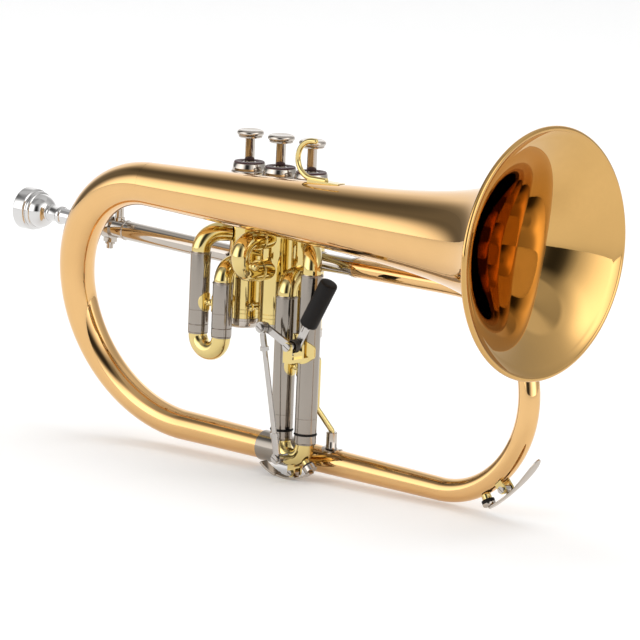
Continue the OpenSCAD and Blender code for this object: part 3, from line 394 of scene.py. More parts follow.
def make_bell():
    """Flare and stem as one thin shell, its rings closer together towards the rolled rim."""
    flare, flare_rings, stem_rings = 150, 90, 24
    stations = [flare * (i / flare_rings) ** 1.6 for i in range(flare_rings + 1)]
    stations += [flare + (BELL_LEN - flare) * i / stem_rings for i in range(1, stem_rings + 1)]
    outer = [(bell_r(s), s) for s in stations if s > 2 * BEAD_R]
    inner = [(bell_r(s) - SHEET, s) for s in reversed(stations) if s > BEAD_R + 0.6]
    rim = arc(BELL_R - BEAD_R, BEAD_R, BEAD_R, -150, 115, 24)
    bm = bmesh.new()
    lathe(bm, outer + inner + rim, Matrix.Rotation(math.radians(-90), 4, "Y"), 256)
    shell = add_piece("bell_shell", bm, ROSE, "horn", ["bell"])
    # Faces that look into the bell take the darker brass: painted shade inside the bell
    shell.data.materials.append(ROSE_SHADED_IN)
    for face in shell.data.polygons:
        face.material_index = 1 if face.normal.x > 0.001 else 0


# ---------------------------------------------------------------- bows


def make_rear_bow():
    """Two quarter ellipses, then the run of the bottom tube up to its joint."""
    steps, straight_steps = 64, 12
    end_r = bell_r(BELL_LEN)
    flat = []
    radii = []
    for i in range(steps + 1):
        a = math.radians(90 * i / steps)
        flat.append((REAR_END_X + REAR_REACH * (1 - math.sin(a)), -REAR_UP * (1 - math.cos(a))))
        radii.append(end_r + (REAR_MID_R - end_r) * i / steps)
    for i in range(1, steps + 1):
        a = math.radians(90 * i / steps)
        flat.append((REAR_END_X + REAR_LOW_LEN * (1 - math.cos(a)),
                     -REAR_UP - REAR_LOW * math.sin(a)))
        radii.append(REAR_MID_R + (REAR_LOW_R - REAR_MID_R) * i / steps)
    run = BOTTOM_JOINT_X - JOINT_HALF_GAP - REAR_LOW_X
    for i in range(1, straight_steps + 1):
        x = REAR_LOW_X + run * i / straight_steps
        flat.append((x, bottom_z(x)))
        radii.append(bottom_r(x))
    path = [Vector((x, LEAN * z, z)) for x, z in flat]
    bm = bmesh.new()
    sweep(bm, path, radii, SHEET, 80, Vector((0, 1, -LEAN)).normalized())
    add_piece("rear_bow_shell", bm, ROSE, "horn", ["rear_bow"])


def make_front_bow():
    """Outlet tube, half an ellipse under the bell, and the front part of the bottom tube."""
    steps, straight_steps = 96, 8
    low_z = bottom_z(FRONT_X)
    lean = (LEAN * low_z - VALVE_Y) / (low_z - OUTLET_Z)
    mid_z = (OUTLET_Z + low_z) / 2
    half = (OUTLET_Z - low_z) / 2
    start_r = BOW_IN_R + 0.2
    flat = []
    radii = []
    for i in range(straight_steps):
        flat.append((OUTLET_END_X + (FRONT_X - OUTLET_END_X) * i / straight_steps, OUTLET_Z))
        radii.append(BOW_IN_R)
    for i in range(steps + 1):
        a = math.radians(90 - 180 * i / steps)
        flat.append((FRONT_X + FRONT_BEND * math.cos(a), mid_z + half * math.sin(a)))
        radii.append(start_r + (bottom_r(FRONT_X) - start_r) * i / steps)
    path = [Vector((x, VALVE_Y + lean * (z - OUTLET_Z), z)) for x, z in flat]
    for x in (FRONT_X - 40, FRONT_X - 80, BOTTOM_JOINT_X + JOINT_HALF_GAP):
        path.append(Vector((x, LEAN * bottom_z(x), bottom_z(x))))
        radii.append(bottom_r(x))
    bm = bmesh.new()
    sweep(bm, path, radii, SHEET, 72, Vector((0, 1, -lean)).normalized())
    add_piece("front_bow_shell", bm, ROSE, "horn", ["front_bow"])


make_bell()
make_rear_bow()
make_front_bow()

# ---------------------------------------------------------------- slides

# Upright slides: their plane, and the distance between the axes of their two tubes
SLIDE_Y = 11.5
LEG_GAP = 19.4
LEFT_1_X = -282.3
LEFT_3_X = -210.2

# Outer radii of the crooks and elbows, of the sleeves, and of the legs inside them
TUBE_R = 5.9
TUBE_WALL = 0.6
TUBE_IN = TUBE_R - TUBE_WALL
SLEEVE_1_R = 6.4
SLEEVE_3_R = 6.8
LEG_1_R = 5.85
LEG_3_R = 6.2

# Foot of the legs, height of their ferrules, and the slit between ferrule and sleeve
END_1 = -90.0
END_3 = -146.0
FERRULE_H = 5.9
SLIT_1 = 0.25
SLIT_3 = 1.4

# Top of the left and the right sleeve, and how far below it the elbow and the leg end
TOPS_1 = (-38.3, -54.8)
TOPS_3 = (-55.9, -40.0)
SOCKET_H = 4.0
LEG_TOP_H = 6

# Heights of the slide ports in the casings, and where tubes start, from a casing's axis
PORT_HI = -26.0
PORT_LO = -45.0
PORT_START = 9.9

# Braces between the sleeves of slides 1 and 3
BRACE_1_Z = -69.5
BRACE_3_Z = -99.0
FLANGE_R = 6.0


def sleeve_profile(outer, inner, low, high):
    """Sleeve with a fine groove near its foot and a bead round its mouth."""
    groove = low + 9
    return ([(inner, low), (outer - 0.15, low), (outer, low + 0.15), (outer, groove - 0.1),
             (outer - 0.12, groove), (outer - 0.12, groove + 0.2), (outer, groove + 0.3),
             (outer, high - 1.6)]
            + oval(outer - 0.1, high - 0.95, 0.45, 0.5, -80, 80, 8)
            + [(outer, high - 0.35), (outer - 0.15, high), (inner, high)])


def leg_profile(leg_r, outer, end, top):
    """Leg with a ferrule at its foot, as wide as the sleeve that it slides in."""
    low = end + FERRULE_H
    return [(TUBE_IN, end), (outer - 0.5, end), (outer - 0.2, end + 0.15), (outer - 0.1, end + 0.7),
            (outer - 0.25, end + 0.85), (outer, end + 1.1), (outer, low - 0.15),
            (outer - 0.15, low), (leg_r, low), (leg_r, top), (TUBE_IN, top)]


def make_sleeves(name, node, x_left, tops, low, outer):
    """The two sleeves of an upright slide."""
    bm = bmesh.new()
    for x, top in zip((x_left, x_left + LEG_GAP), tops):
        lathe(bm, sleeve_profile(outer, TUBE_R, low, top), upright(x, SLIDE_Y), 64)
    add_piece(name, bm, SATIN_SHADED, "horn", [node])


def make_legs(name, node, x_left, tops, end, outer, leg_r, body):
    """The two legs of an upright slide."""
    bm = bmesh.new()
    for x, top in zip((x_left, x_left + LEG_GAP), tops):
        lathe(bm, leg_profile(leg_r, outer, end, top - LEG_TOP_H), upright(x, SLIDE_Y), 64)
    add_piece(name, bm, SATIN_SHADED, body, [node])


def make_crook(name, node, x_left, end, body):
    """Half circle that joins the feet of two legs."""
    bend = LEG_GAP / 2
    path = [Vector((x, SLIDE_Y, z)) for x, z in arc(x_left + bend, end, bend, 180, 360, 40)]
    bm = bmesh.new()
    sweep(bm, path, TUBE_R, TUBE_WALL, 48, Vector((0, 1, 0)))
    add_piece(name, bm, YELLOW, body, [node])


def make_knuckles(name, node, valve_x, legs):
    """Elbows from a valve casing down to the two legs."""
    bm = bmesh.new()
    for x, port, top, bend in legs:
        axis = Vector((valve_x, VALVE_Y, port))
        corner = Vector((x, SLIDE_Y, port))
        start = axis + (corner - axis).normalized() * PORT_START
        path = rounded_path([start, corner, Vector((x, SLIDE_Y, top - SOCKET_H))], bend)
        sweep(bm, path, TUBE_R, TUBE_WALL, 48)
    add_piece(name, bm, YELLOW, "horn", [node])


def wrapped_disc(bm, place, tube_r, face, size, thick=0.55):
    """Solder flange bent over a tube that runs along the local Z, with its back sunk in it."""
    sides, rows, edge, back = 48, 7, 0.2, -0.1

    def point(across, up, radius):
        turn = math.radians(face) + across / tube_r
        return bm.verts.new(place @ Vector((radius * math.cos(turn), radius * math.sin(turn), up)))

    rings = []
    reaches = [k / rows * (size - edge) for k in range(1, rows + 1)]
    steps = [(reach, thick) for reach in reaches] + [(size, thick - edge), (size, back)]
    steps += [(reach, back) for reach in reversed(reaches)]
    for reach, lift in steps:
        rings.append([point(reach * math.cos(a), reach * math.sin(a), tube_r + lift)
                      for a in (math.tau * k / sides for k in range(sides))])
    for ring, lift in ((rings[0], thick), (rings[-1], back)):
        centre = point(0, 0, tube_r + lift)
        for k in range(sides):
            bm.faces.new((centre, ring[k], ring[(k + 1) % sides]))
    bridge(bm, rings, closed=False)


def make_braces():
    """Turned bars with a knob in the middle, between flanges on the two sleeves."""
    bm = bmesh.new()
    for x_left, z, tube_r in ((LEFT_1_X, BRACE_1_Z, SLEEVE_1_R), (LEFT_3_X, BRACE_3_Z, SLEEVE_3_R)):
        wrapped_disc(bm, upright(x_left, SLIDE_Y, z), tube_r, 0, FLANGE_R)
        wrapped_disc(bm, upright(x_left + LEG_GAP, SLIDE_Y, z), tube_r, 180, FLANGE_R)
        span = LEG_GAP - 2 * tube_r
        mid = span / 2
        profile = [(0, 0), (2.3, 0), (2.2, 0.5), (1.4, 0.9), (1.1, mid - 1.9)]
        profile += arc(0, mid, 2.2, -58, 58, 12)
        profile += [(1.1, mid + 1.9), (1.4, span - 0.9), (2.2, span - 0.5), (2.3, span), (0, span)]
        lathe(bm, profile, facing(x_left + tube_r, SLIDE_Y, z, (1, 0, 0)), 40)
    add_piece("brace_flanges", bm, YELLOW, "horn", ["slide_braces"])


def make_o_rings():
    """Stop rings that lie on the ferrules of the third slide."""
    ring_r, cord_r = 6.74, 0.54
    z = END_3 + FERRULE_H + 0.55
    bm = bmesh.new()
    for x in (LEFT_3_X, LEFT_3_X + LEG_GAP):
        lathe(bm, arc(ring_r, z, cord_r, 0, 345, 23), upright(x, SLIDE_Y), 64)
    add_piece("o_ring_pair", bm, BLACK, "third_slide", ["third_slide_o_rings"])


def make_second_slide():
    """Short slide towards the player's right: a crook with a pull knob, and two sleeves."""
    x = VALVE_X[1]
    mid = (PORT_HI + PORT_LO) / 2
    bend, bend_y, legs_y = 9.8, 9.9, 16.35
    sleeve_r, sleeve_near, sleeve_far = 6.5, 16.6, 26.6
    knob_y, knob_z = 2.2, mid - 4.4
    path = [Vector((x, legs_y, mid + bend))]
    path += [Vector((x, y, z)) for z, y in arc(mid, bend_y, bend, 0, -180, 40)]
    path.append(Vector((x, legs_y, mid - bend)))
    bm = bmesh.new()
    sweep(bm, path, TUBE_R, TUBE_WALL, 48, Vector((1, 0, 0)))
    for reach, ball_r in ((7.4, 2.0), (10.4, 2.5)):
        lathe(bm, arc(0, 0, ball_r, -90, 90, 14), facing(x + reach, knob_y, knob_z, (1, 0, 0)), 32)
    rod(bm, Vector((x + 4.2, knob_y, knob_z)), Vector((x + 9, knob_y, knob_z)), 1.4)
    add_piece("second_crook_bend", bm, YELLOW, "second_slide", ["second_slide_crook"])
    outwards = Matrix.Rotation(math.radians(90), 4, "X")
    bm = bmesh.new()
    for z in (mid - bend, mid + bend):
        lathe(bm, sleeve_profile(sleeve_r, TUBE_R, -sleeve_far, -sleeve_near),
              upright(x, 0, z) @ outwards, 64)
    add_piece("second_sleeve_pair", bm, YELLOW, "horn", ["second_slide_sleeves"])


make_sleeves("first_sleeve_pair", "first_slide_sleeves", LEFT_1_X, TOPS_1,
             END_1 + FERRULE_H + SLIT_1, SLEEVE_1_R)
make_legs("first_leg_pair", "first_slide_legs", LEFT_1_X, TOPS_1, END_1, SLEEVE_1_R, LEG_1_R,
          "first_slide")
make_sleeves("third_sleeve_pair", "third_slide_sleeves", LEFT_3_X, TOPS_3,
             END_3 + FERRULE_H + SLIT_3, SLEEVE_3_R)
make_legs("third_leg_pair", "third_slide_legs", LEFT_3_X, TOPS_3, END_3, SLEEVE_3_R, LEG_3_R,
          "third_slide")
make_crook("first_crook_bend", "first_slide_crook", LEFT_1_X, END_1, "first_slide")
make_crook("third_crook_bend", "third_slide_crook", LEFT_3_X, END_3, "third_slide")
make_knuckles("first_elbows", "first_slide_knuckles", VALVE_X[0],
              [(LEFT_1_X, PORT_HI, TOPS_1[0], 12.0), (LEFT_1_X + LEG_GAP, PORT_LO, TOPS_1[1], 10.0)])
make_knuckles("third_elbows", "third_slide_knuckles", VALVE_X[2],
              [(LEFT_3_X, PORT_LO, TOPS_3[0], 10.0), (LEFT_3_X + LEG_GAP, PORT_HI, TOPS_3[1], 12.0)])
make_braces()
make_o_rings()
make_second_slide()

# ---------------------------------------------------------------- valves

# Casing between its two caps, and the threaded ends that the caps go on
CASING_R = 10.3
CASING_LOW = -79.6
CASING_HIGH = 11
THREAD_R = 9.6
THREAD_H = 3
BORE_R = 8.6
CAP_R = 10.9

# Finger button: height of its underside at rest, radius, height, and its stem
BUTTON_Z = 33.4
BUTTON_R = 8.4
BUTTON_H = 4.8
STEM_R = 3.05
STEM_LOW = -16


def casing_profile():
    """Casing with two scribed lines near each end."""
    low, high = CASING_LOW, CASING_HIGH
    lines = []
    for z in (-76, -73.5, 4, 7):
        lines += [(CASING_R, z - 0.3), (CASING_R - 0.15, z - 0.15), (CASING_R - 0.15, z + 0.15),
                  (CASING_R, z + 0.3)]
    foot = [(BORE_R, low - THREAD_H), (THREAD_R, low - THREAD_H), (THREAD_R, low),
            (CASING_R - 0.2, low), (CASING_R, low + 0.2)]
    head = [(CASING_R, high - 0.2), (CASING_R - 0.2, high), (THREAD_R, high),
            (THREAD_R, high + THREAD_H), (BORE_R, high + THREAD_H)]
    return foot + lines + head


def button_profile():
    """Stem and button, with a round edge and a shallow dish on top."""
    z, r, top = BUTTON_Z, BUTTON_R, BUTTON_Z + BUTTON_H
    edge = 1.9
    return ([(0, STEM_LOW), (STEM_R, STEM_LOW), (STEM_R, z - 0.8), (STEM_R + 0.25, z - 0.3),
             (STEM_R + 0.8, z), (r - 1.4, z), (r - 1.0, z + 0.3), (r - 0.95, z + 0.9)]
            + arc(r - edge, top - edge, edge, -72, 90, 18)
            + [(r - 2.4, top - 0.1), (r - 3.6, top - 0.35), (0, top - 0.55)])


def turn_on_each_valve(name, profile, material, node):
    """One piece that repeats a turned profile on all three valves."""
    bm = bmesh.new()
    for x in VALVE_X:
        lathe(bm, profile, upright(x, VALVE_Y))
    add_piece(name, bm, material, "horn", [node])


def make_valves():
    """Casings and buttons one by one, then the caps and felts in sets of three."""
    for i, x in enumerate(VALVE_X, 1):
        bm = bmesh.new()
        lathe(bm, casing_profile(), upright(x, VALVE_Y))
        add_piece(f"casing_tube_{i}", bm, YELLOW, "horn", [f"valve_casing_{i}"])
        bm = bmesh.new()
        lathe(bm, button_profile(), upright(x, VALVE_Y))
        add_piece(f"button_{i}", bm, NICKEL, f"valve_{i}", [f"finger_button_{i}"])
    high = CASING_HIGH + THREAD_H
    top = [(3.2, high), (THREAD_R, high), (THREAD_R, CASING_HIGH)]
    top += oval(CAP_R - 0.6, 12.1, 0.9, 1.1, -90, 80, 12)
    top += [(CAP_R - 0.45, 13.4), (CAP_R - 0.4, 13.9), (9.95, 17.3), (9.75, 17.6), (9.5, 17.55),
            (9.5, 17), (4.9, 17), (4.9, 18.0), (4.7, 18.1), (3.4, 18.1), (3.2, 18.0)]
    turn_on_each_valve("top_cap_set", top, NICKEL, "top_caps")
    low = CASING_LOW - THREAD_H
    foot = [(1.5, -83), (BORE_R, -83), (BORE_R, low), (THREAD_R, low), (THREAD_R, CASING_LOW),
            (CAP_R - 0.2, CASING_LOW), (CAP_R, -79.4), (CAP_R, -80.3), (CAP_R - 0.25, -80.5),
            (CAP_R - 0.25, -80.9), (CAP_R, -81.1), (CAP_R, -83.8), (CAP_R - 0.4, -84.3),
            (9.6, -85.2), (6, -85.6), (1.5, -85.6)]
    turn_on_each_valve("bottom_cap_set", foot, NICKEL, "bottom_caps")
    felt = [(5.0, 17), (9.5, 17), (9.5, 18.1), (9.1, 18.5), (5.3, 18.5), (5.0, 18.3)]
    turn_on_each_valve("felt_set", felt, FELT, "cap_felts")


make_valves()

# ---------------------------------------------------------------- leadpipe and mouthpiece

# The pipe's axis points from the first valve to the player; its local Z runs along it
LEAD_Z = -42.3
LEAD_TILT = math.radians(1.9)
LEAD = (upright(VALVE_X[0], VALVE_Y, LEAD_Z) @ Matrix.Rotation(LEAD_TILT, 4, "Y")
        @ Matrix.Rotation(math.radians(-90), 4, "Y"))
LEAD_R = 6.0
LEAD_WALL = 0.7
PIPE_R = LEAD_R - 0.75

# Both ends of the receiver, the start of the tuning pipe, and the mouthpiece's rim
RECEIVER_START = 9.5
RECEIVER_END = 118
PIPE_START = 62
RIM_AT = 188.5
RIM_R = 13.7


def make_receiver():
    inner = LEAD_R - LEAD_WALL
    profile = [(inner, RECEIVER_START), (LEAD_R, RECEIVER_START)]
    profile += oval(LEAD_R - 0.1, 100.7, 0.55, 0.7, -80, 80, 8)
    profile += [(LEAD_R, RECEIVER_END - 0.2), (LEAD_R - 0.2, RECEIVER_END), (inner, RECEIVER_END)]
    bm = bmesh.new()
    lathe(bm, profile, LEAD, 64)
    add_piece("receiver_tube", bm, NICKEL, "horn", ["receiver"])


def make_tuning_pipe():
    """Inner pipe, with the wider socket that the mouthpiece goes into."""
    inner = PIPE_R - LEAD_WALL
    profile = [(inner, PIPE_START), (PIPE_R, PIPE_START), (PIPE_R, 120.5), (6.1, 121.3),
               (6.3, 121.7), (6.3, 124), (6.9, 125), (6.9, 136), (7.2, 136.6)]
    profile += oval(6.9, 138.5, 0.5, 1.5, -70, 70, 10)
    profile += [(6.6, 140), (4.85, 140), (4.85, 122.5), (inner, 120)]
    bm = bmesh.new()
    lathe(bm, profile, LEAD, 64)
    add_piece("tuning_tube", bm, YELLOW, "tuning_slide", ["tuning_pipe"])


def make_mouthpiece():
    """Shank, bowl, rim and cup in one turned profile, heights from the rim's face."""
    shank = [(2.2, -64), (4.3, -64), (4.8, -56), (4.8, -33.2)]
    shank += oval(4.8, -31, 1.1, 1.8, -80, 80, 12)
    shank += [(4.8, -28.8), (4.8, -23.4), (5.1, -23.1), (5.35, -22.6), (5.35, -21.6), (5.0, -21.1)]
    bowl = [(10.9 * math.cos(math.radians(a)) ** 0.9, -12.6 + 8.7 * math.sin(math.radians(a)))
            for a in range(-62, 1, 4)]
    step = [(11.0, -12.3), (11.6, -12.1)] + oval(11.5, -10.6, 0.75, 1.4, -70, 80, 12)
    step += [(11.6, -9.0), (11.7, -8.6), (12.9, -8.2), (13.15, -7.9), (13.2, -7.4)]
    rim = arc(RIM_R - 0.9, -0.9, 0.9, 0, 80, 10)
    rim += [(11.4, 0.1), (9.9, 0), (9.2, -0.4), (8.8, -1.1)]
    cup = [(8.4, -2.4), (8.0, -6), (7.0, -10.5), (5.2, -14.5), (3.4, -17), (2.2, -18.5)]
    bm = bmesh.new()
    lathe(bm, [(r, RIM_AT + z) for r, z in shank + bowl + step + rim + cup], LEAD)
    add_piece("mouthpiece_turned", bm, SILVER, "mouthpiece_body", ["mouthpiece"])


make_receiver()
make_tuning_pipe()
make_mouthpiece()

# ---------------------------------------------------------------- fittings

# Ferrule over the joint of the bottom tube: its middle, half length, wall, and play inside
FERRULE_X = -222.5
FERRULE_HALF = 16.5
FERRULE_THICK = 0.7
FERRULE_PLAY = 0.12

# Bottom brace: radius of its rod and of the bends, and where the rod turns down to its foot
BRACE_ROD_R = 1.75
BRACE_BEND = 2.6
BRACE_FOOT_X = -184
BRACE_FOOT_Z = -138.5

# Trigger grip: its lean from the horizontal, the trigger's pivot (x, z), and its place
GRIP_LEAN = math.radians(61)
PIVOT_X = -188.3
PIVOT_Z = -82.5
GRIP_Y = -2.0
GRIP_START = 14.0
GRIP_R = 5.7
GRIP_LEN = 34.0


def on_bottom_tube(x):
    """Place on the bottom tube's axis, with its local Z along the tube."""
    turn = Matrix.Rotation(math.radians(90) + math.atan(BOTTOM_SLOPE), 4, "Y")
    return upright(x, LEAN * bottom_z(x), bottom_z(x)) @ turn


def make_ferrule():
    """Ferrule over the joint of the two bows, tapered inside like the tube."""
    half = FERRULE_HALF
    start = bottom_r(FERRULE_X - half) + FERRULE_PLAY
    end = bottom_r(FERRULE_X + half) + FERRULE_PLAY
    outer = start + FERRULE_THICK
    profile = [(start, -half), (outer - 0.35, -half), (outer, -half + 0.4), (outer, half - 0.4),
               (outer - 0.35, half), (end, half)]
    bm = bmesh.new()
    lathe(bm, profile, on_bottom_tube(FERRULE_X), 80)
    add_piece("bottom_ferrule_sleeve", bm, SATIN_SHADED, "horn", ["bottom_ferrule"])


def make_bottom_brace():
    """Bent rod from the third slide's sleeve to a nickel foot on the bottom tube."""
    leg_x = LEFT_3_X + LEG_GAP
    foot = Vector((BRACE_FOOT_X, BOTTOM_Y, BRACE_FOOT_Z))
    corners = [Vector((leg_x, SLIDE_Y + 4, -92)), Vector((leg_x + 1, SLIDE_Y + 8.4, -93)),
               Vector((leg_x + 1, SLIDE_Y + 8.4, -124)), foot, foot + Vector((0, 0, -8))]
    bm = bmesh.new()
    sweep(bm, rounded_path(corners, BRACE_BEND), BRACE_ROD_R, None, 32)
    add_piece("bottom_brace_rod", bm, YELLOW, "horn", ["bottom_brace"])
    skin = bottom_r(foot.x)
    low = bottom_z(foot.x) + skin + 0.3
    profile = [(0, low), (3.9, low), (3.4, low + 0.8), (3.3, low + 9.2), (3.45, low + 9.6),
               (3.1, low + 10.2), (0, low + 10.2)]
    bm = bmesh.new()
    lathe(bm, profile, upright(foot.x, foot.y), 48)
    wrapped_disc(bm, on_bottom_tube(foot.x), skin, 180, 6.6, 0.6)
    add_piece("bottom_brace_socket", bm, NICKEL, "horn", [])


def make_grip():
    """Rubber sleeve with rounded ends, pushed over the trigger's arm."""
    aim = Vector((math.cos(GRIP_LEAN), 0, math.sin(GRIP_LEAN)))
    place = facing(PIVOT_X + GRIP_START * aim.x, GRIP_Y, PIVOT_Z + GRIP_START * aim.z, aim)
    r, high = GRIP_R, GRIP_LEN
    profile = [(1.6, 2.0), (r - 0.9, 2.0), (r - 0.25, 2.25), (r, 2.9), (r, high - 1.3),
               (r - 0.35, high - 0.4), (r - 1.1, high), (1.6, high), (0, high), (0, 27)]
    bm = bmesh.new()
    lathe(bm, profile, place, 64)
    add_piece("grip_sleeve", bm, BLACK, "trigger", ["trigger_grip"])


# Front water key. Its lever lies on an arc, and the arc's centre is the hub: angle and distance
# of one point of the arc, seen from the bow's centre (KEY) and from the hub (HUB)
KEY_Y = 29.95
KEY_AIM = -47.5
KEY_REACH = 76.4
HUB_AIM = -49
HUB_REACH = 120

# Lever: radius of its arc at mid thickness, half of its thickness, half its width at the tips
LEAF_REACH = 120.7
LEAF_THICK = 0.65
LEAF_EDGE = 0.15

# Outline of the lever: angle from the hub, and half of its width there
LEAF = [(-57.7, 0.0), (-57.5, 1.6), (-57, 2.6), (-56, 3.2), (-53.5, 2.7), (-50, 2.3), (-46.5, 2.5),
        (-43.5, 3.1), (-41, 3.8), (-38.4, 4.1), (-36.2, 3.8), (-34.6, 2.8), (-33.7, 1.7), (-33.3, 0.0)]

# From the bow's centre: angle of the key's cup, and distance of the key's pivot. The cup's
# profile starts from the bow's skin, which lies this far outside its axis
CUP_AIM = -60.5
KEY_PIVOT_REACH = 73.2
BOW_SKIN = 6.9


def aimed(degrees):
    """Unit vector in the plane of X and Z."""
    turn = math.radians(degrees)
    return Vector((math.cos(turn), 0, math.sin(turn)))


def leaf_half(turn):
    """Half the lever's width at an angle along its arc."""
    for (a0, w0), (a1, w1) in zip(LEAF, LEAF[1:]):
        if turn <= a1:
            return w0 + (w1 - w0) * (turn - a0) / (a1 - a0)
    return 0.0


def leaf_rings(bm, hub):
    """Rounded cross sections of the lever, closer together towards its two tips."""
    steps, sides = 92, 24
    first, last = LEAF[0][0], LEAF[-1][0]
    rings = []
    for i in range(steps + 1):
        turn = first + (last - first) * (1 - math.cos(math.pi * i / steps)) / 2
        half = max(leaf_half(turn), LEAF_EDGE)
        ring = []
        for k in range(sides):
            c, d = math.cos(math.tau * k / sides), math.sin(math.tau * k / sides)
            across = half * math.copysign(abs(c) ** 0.45, c)
            out = LEAF_REACH + LEAF_THICK * math.copysign(abs(d) ** 0.7, d)
            ring.append(bm.verts.new(hub + out * aimed(turn) + Vector((0, across, 0))))
        rings.append(ring)
    return rings


def make_front_key():
    """Lever with its hinge tube, arm and cup, then the cork under the cup."""
    centre = Vector((FRONT_X, KEY_Y, (OUTLET_Z + bottom_z(FRONT_X)) / 2))
    hub = centre + KEY_REACH * aimed(KEY_AIM) - HUB_REACH * aimed(HUB_AIM)
    bm = bmesh.new()
    rings = leaf_rings(bm, hub)
    bridge(bm, rings, closed=False)
    for ring in (rings[0], rings[-1]):
        bm.faces.new(ring)
    cup_place = facing(*centre, aimed(CUP_AIM))
    skin = FRONT_BEND + BOW_SKIN
    cup = [(0, 5.1), (4.1, 5.1), (4.2, 5.2), (4.2, 6.3), (3.7, 7.1), (2.6, 7.6), (0, 7.7)]
    lathe(bm, [(r, skin + z) for r, z in cup], cup_place, 48)
    arm = aimed(KEY_AIM)
    pivot = centre + KEY_PIVOT_REACH * arm
    lathe(bm, [(1.05, -2.4), (2.2, -2.4), (2.2, 2.4), (1.05, 2.4)], facing(*pivot, (0, 1, 0)), 40)
    rod(bm, pivot + arm * 1.6, pivot + arm * 3.9, 1.7)
    add_piece("front_key_leaf", bm, NICKEL, "front_water_key", ["front_key_lever"])
    pad = [(0, 2.9), (3.8, 2.9), (4.1, 3.2), (4.1, 4.9), (3.9, 5.15), (0, 5.15)]
    bm = bmesh.new()
    lathe(bm, [(r, skin + z) for r, z in pad], cup_place, 48)
    add_piece("front_key_pad", bm, BLACK, "front_water_key", ["front_key_cork"])


make_ferrule()
make_bottom_brace()
make_grip()
make_front_key()

# ---------------------------------------------------------------- studio

# Lengths from here on are in metres. The floor touches the horn's lowest point, and glows
# a little so that it stays pale
FLOOR_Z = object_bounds()[0][2]
FLOOR_HALF = 6.0
FLOOR_GLOW = 0.17


def make_floor():
    h = FLOOR_HALF
    mesh = bpy.data.meshes.new("floor")
    corners = [(-h, -h), (h, -h), (h, h), (-h, h)]
    mesh.from_pydata([(x, y, FLOOR_Z) for x, y in corners], [], [(0, 1, 2, 3)])
    floor = bpy.data.objects.new("floor", mesh)
    bpy.context.scene.collection.objects.link(floor)
    g = Graph("pale_floor")
    speckle = g.noise(g.coordinates(), 40.0, 2.0)
    g.link(g.ramp(speckle, [(0.3, (0.88, 0.88, 0.88)), (0.7, (0.90, 0.90, 0.90))]),
           g.shader.inputs["Base Color"])
    g.shader.inputs["Roughness"].default_value = 0.9
    g.shader.inputs["Specular IOR Level"].default_value = 0.1
    g.shader.inputs["Emission Color"].default_value = (1, 1, 1, 1)
    g.shader.inputs["Emission Strength"].default_value = FLOOR_GLOW
    mesh.materials.append(g.material)


# Brightness of the room round the horn, by compass direction in degrees from +X towards +Y:
# at eye level, just above the softboxes, and overhead
WALL = [(-180, 0.18), (-172, 0.12), (-165, 0.4), (-157, 1.1), (-146, 1.8), (-127, 2.0),
        (-112, 2.6), (-97, 2.0), (-86, 1.1), (-77, 0.1), (-68, 0.03), (-53, 0.03), (-45, 0.35),
        (-37, 0.75), (-22, 1.5), (-7, 2.3), (8, 2.8), (18, 2.0), (27, 0.95), (37, 0.7),
        (67, 0.5), (85, 0.55), (100, 0.9), (112, 1.6), (127, 1.15), (157, 1.1), (165, 0.6),
        (172, 0.27), (180, 0.18)]
GAP = [(-180, 0.12), (-172, 0.08), (-157, 0.13), (-142, 0.28), (-112, 0.45), (-92, 0.68),
       (-75, 0.3), (-55, 0.25), (-37, 0.47), (-15, 0.9), (8, 1.0), (28, 0.7), (67, 0.52),
       (97, 0.68), (157, 0.5), (172, 0.2), (180, 0.12)]
CEILING = [(-180, 0.66), (-172, 0.64), (-157, 0.32), (-120, 0.40), (-97, 0.60), (-67, 0.52),
           (-37, 0.60), (8, 0.44), (22, 0.45), (37, 0.84), (100, 0.72), (157, 0.62), (180, 0.66)]

# Brightness that a ramp's white stands for, and how far the softboxes lean as they rise
RANGE = 3.0
SLANT = 0.6

# The three bands fade into each other over these heights, as the sine of the angle above
# the horizon, and the lean fades in over these shares of a full turn
WALL_TO_GAP = (0.44, 0.73)
GAP_TO_CEILING = (0.72, 0.78)
LEAN_START = (0.20, 0.12)


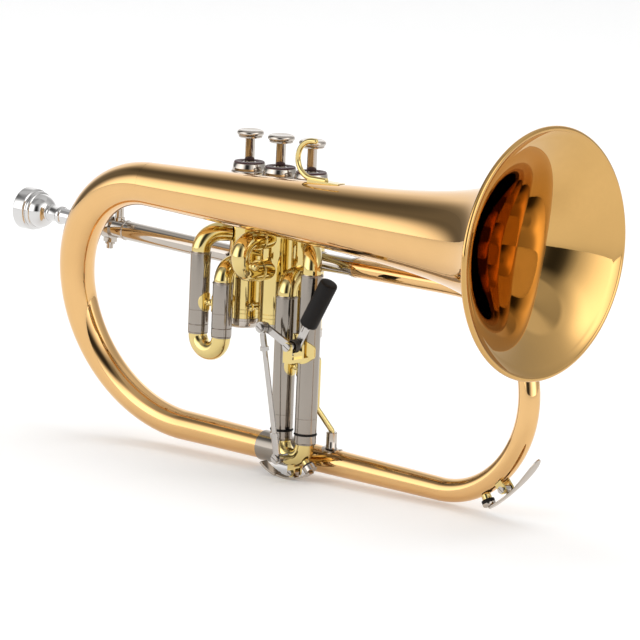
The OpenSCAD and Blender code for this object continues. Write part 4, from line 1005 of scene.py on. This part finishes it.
def make_world():
    """A studio seen in the metal: two softboxes, a dark gap between them and a grey ceiling."""
    world = bpy.data.worlds.new("studio")
    bpy.context.scene.world = world
    world.use_nodes = True
    nodes = world.node_tree.nodes
    links = world.node_tree.links

    def math_node(operation, first, second=None):
        made = nodes.new("ShaderNodeMath")
        made.operation = operation
        for socket, value in zip(made.inputs, (first, second)):
            if isinstance(value, float):
                socket.default_value = value
            elif value is not None:
                links.new(value, socket)
        return made.outputs["Value"]

    def profile(fac, stops):
        ramp = nodes.new("ShaderNodeValToRGB")
        elements = ramp.color_ramp.elements
        ramp.color_ramp.interpolation = "B_SPLINE"
        while len(elements) < len(stops):
            elements.new(0.5)
        for element, (at, value) in zip(elements, stops):
            grey = value / RANGE
            element.position = at / 360 + 0.5
            element.color = (grey, grey, grey, 1)
        links.new(fac, ramp.inputs["Fac"])
        return ramp.outputs["Color"]

    def step(source, low, high):
        made = nodes.new("ShaderNodeMapRange")
        made.interpolation_type = "SMOOTHSTEP"
        made.inputs["From Min"].default_value = low
        made.inputs["From Max"].default_value = high
        links.new(source, made.inputs["Value"])
        return made.outputs["Result"]

    def blend(factor, first, second):
        made = nodes.new("ShaderNodeMix")
        made.data_type = "FLOAT"
        links.new(factor, made.inputs["Factor"])
        links.new(first, made.inputs["A"])
        links.new(second, made.inputs["B"])
        return made.outputs["Result"]

    place = nodes.new("ShaderNodeTexCoord")
    split = nodes.new("ShaderNodeSeparateXYZ")
    links.new(place.outputs["Generated"], split.inputs["Vector"])
    turn = math_node("ARCTAN2", split.outputs["Y"], split.outputs["X"])
    compass = math_node("MULTIPLY_ADD", turn, 1 / math.tau)
    compass.node.inputs[2].default_value = 0.5
    climb = math_node("MAXIMUM", math_node("ARCSINE", split.outputs["Z"]), 0.0)
    leaning = math_node("MULTIPLY", climb, step(compass, *LEAN_START))
    slanted = math_node("SUBTRACT", compass, math_node("MULTIPLY", leaning, SLANT / math.tau))
    walls = blend(step(split.outputs["Z"], *WALL_TO_GAP), profile(slanted, WALL),
                  profile(compass, GAP))
    room = blend(step(split.outputs["Z"], *GAP_TO_CEILING), walls, profile(compass, CEILING))
    links.new(room, nodes["Background"].inputs["Color"])
    nodes["Background"].inputs["Strength"].default_value = RANGE


LAMP_AT = (-0.5, 0.3, 2.6)
LAMP_AIM = (-0.2, 0.0, -0.1)
LAMP_SIZE = 2.6
LAMP_POWER = 34


def make_lamp():
    """Overhead fill for the floor; the softboxes seen in the metal belong to the world."""
    light = bpy.data.lights.new("overhead", "AREA")
    light.size = LAMP_SIZE
    light.energy = LAMP_POWER
    lamp = bpy.data.objects.new("overhead", light)
    bpy.context.scene.collection.objects.link(lamp)
    lamp.location = LAMP_AT
    lamp.rotation_euler = (Vector(LAMP_AIM) - Vector(LAMP_AT)).to_track_quat("-Z", "Y").to_euler()
    lamp.visible_camera = False
    lamp.visible_glossy = False


# The camera stands before the bell, on the player's right and a little above the horn. Its
# turns are in degrees about X, Y and Z, its lens and sensor in millimetres
CAMERA_AT = (2.15873, -2.72829, 0.56905)
CAMERA_TURN = (79.978, -2.376, 40.939)
CAMERA_LENS = 336.9
CAMERA_SENSOR = 36.0
CAMERA_REACH = 50.0


def make_camera():
    camera = bpy.data.cameras.new("camera")
    camera.lens = CAMERA_LENS
    camera.sensor_width = CAMERA_SENSOR
    camera.clip_end = CAMERA_REACH
    holder = bpy.data.objects.new("camera", camera)
    bpy.context.scene.collection.objects.link(holder)
    turn = Euler([math.radians(angle) for angle in CAMERA_TURN])
    holder.matrix_world = Matrix.LocRotScale(Vector(CAMERA_AT), turn, None)
    bpy.context.scene.camera = holder


make_floor()
make_world()
make_lamp()
make_camera()
bpy.context.scene.view_settings.view_transform = "Standard"
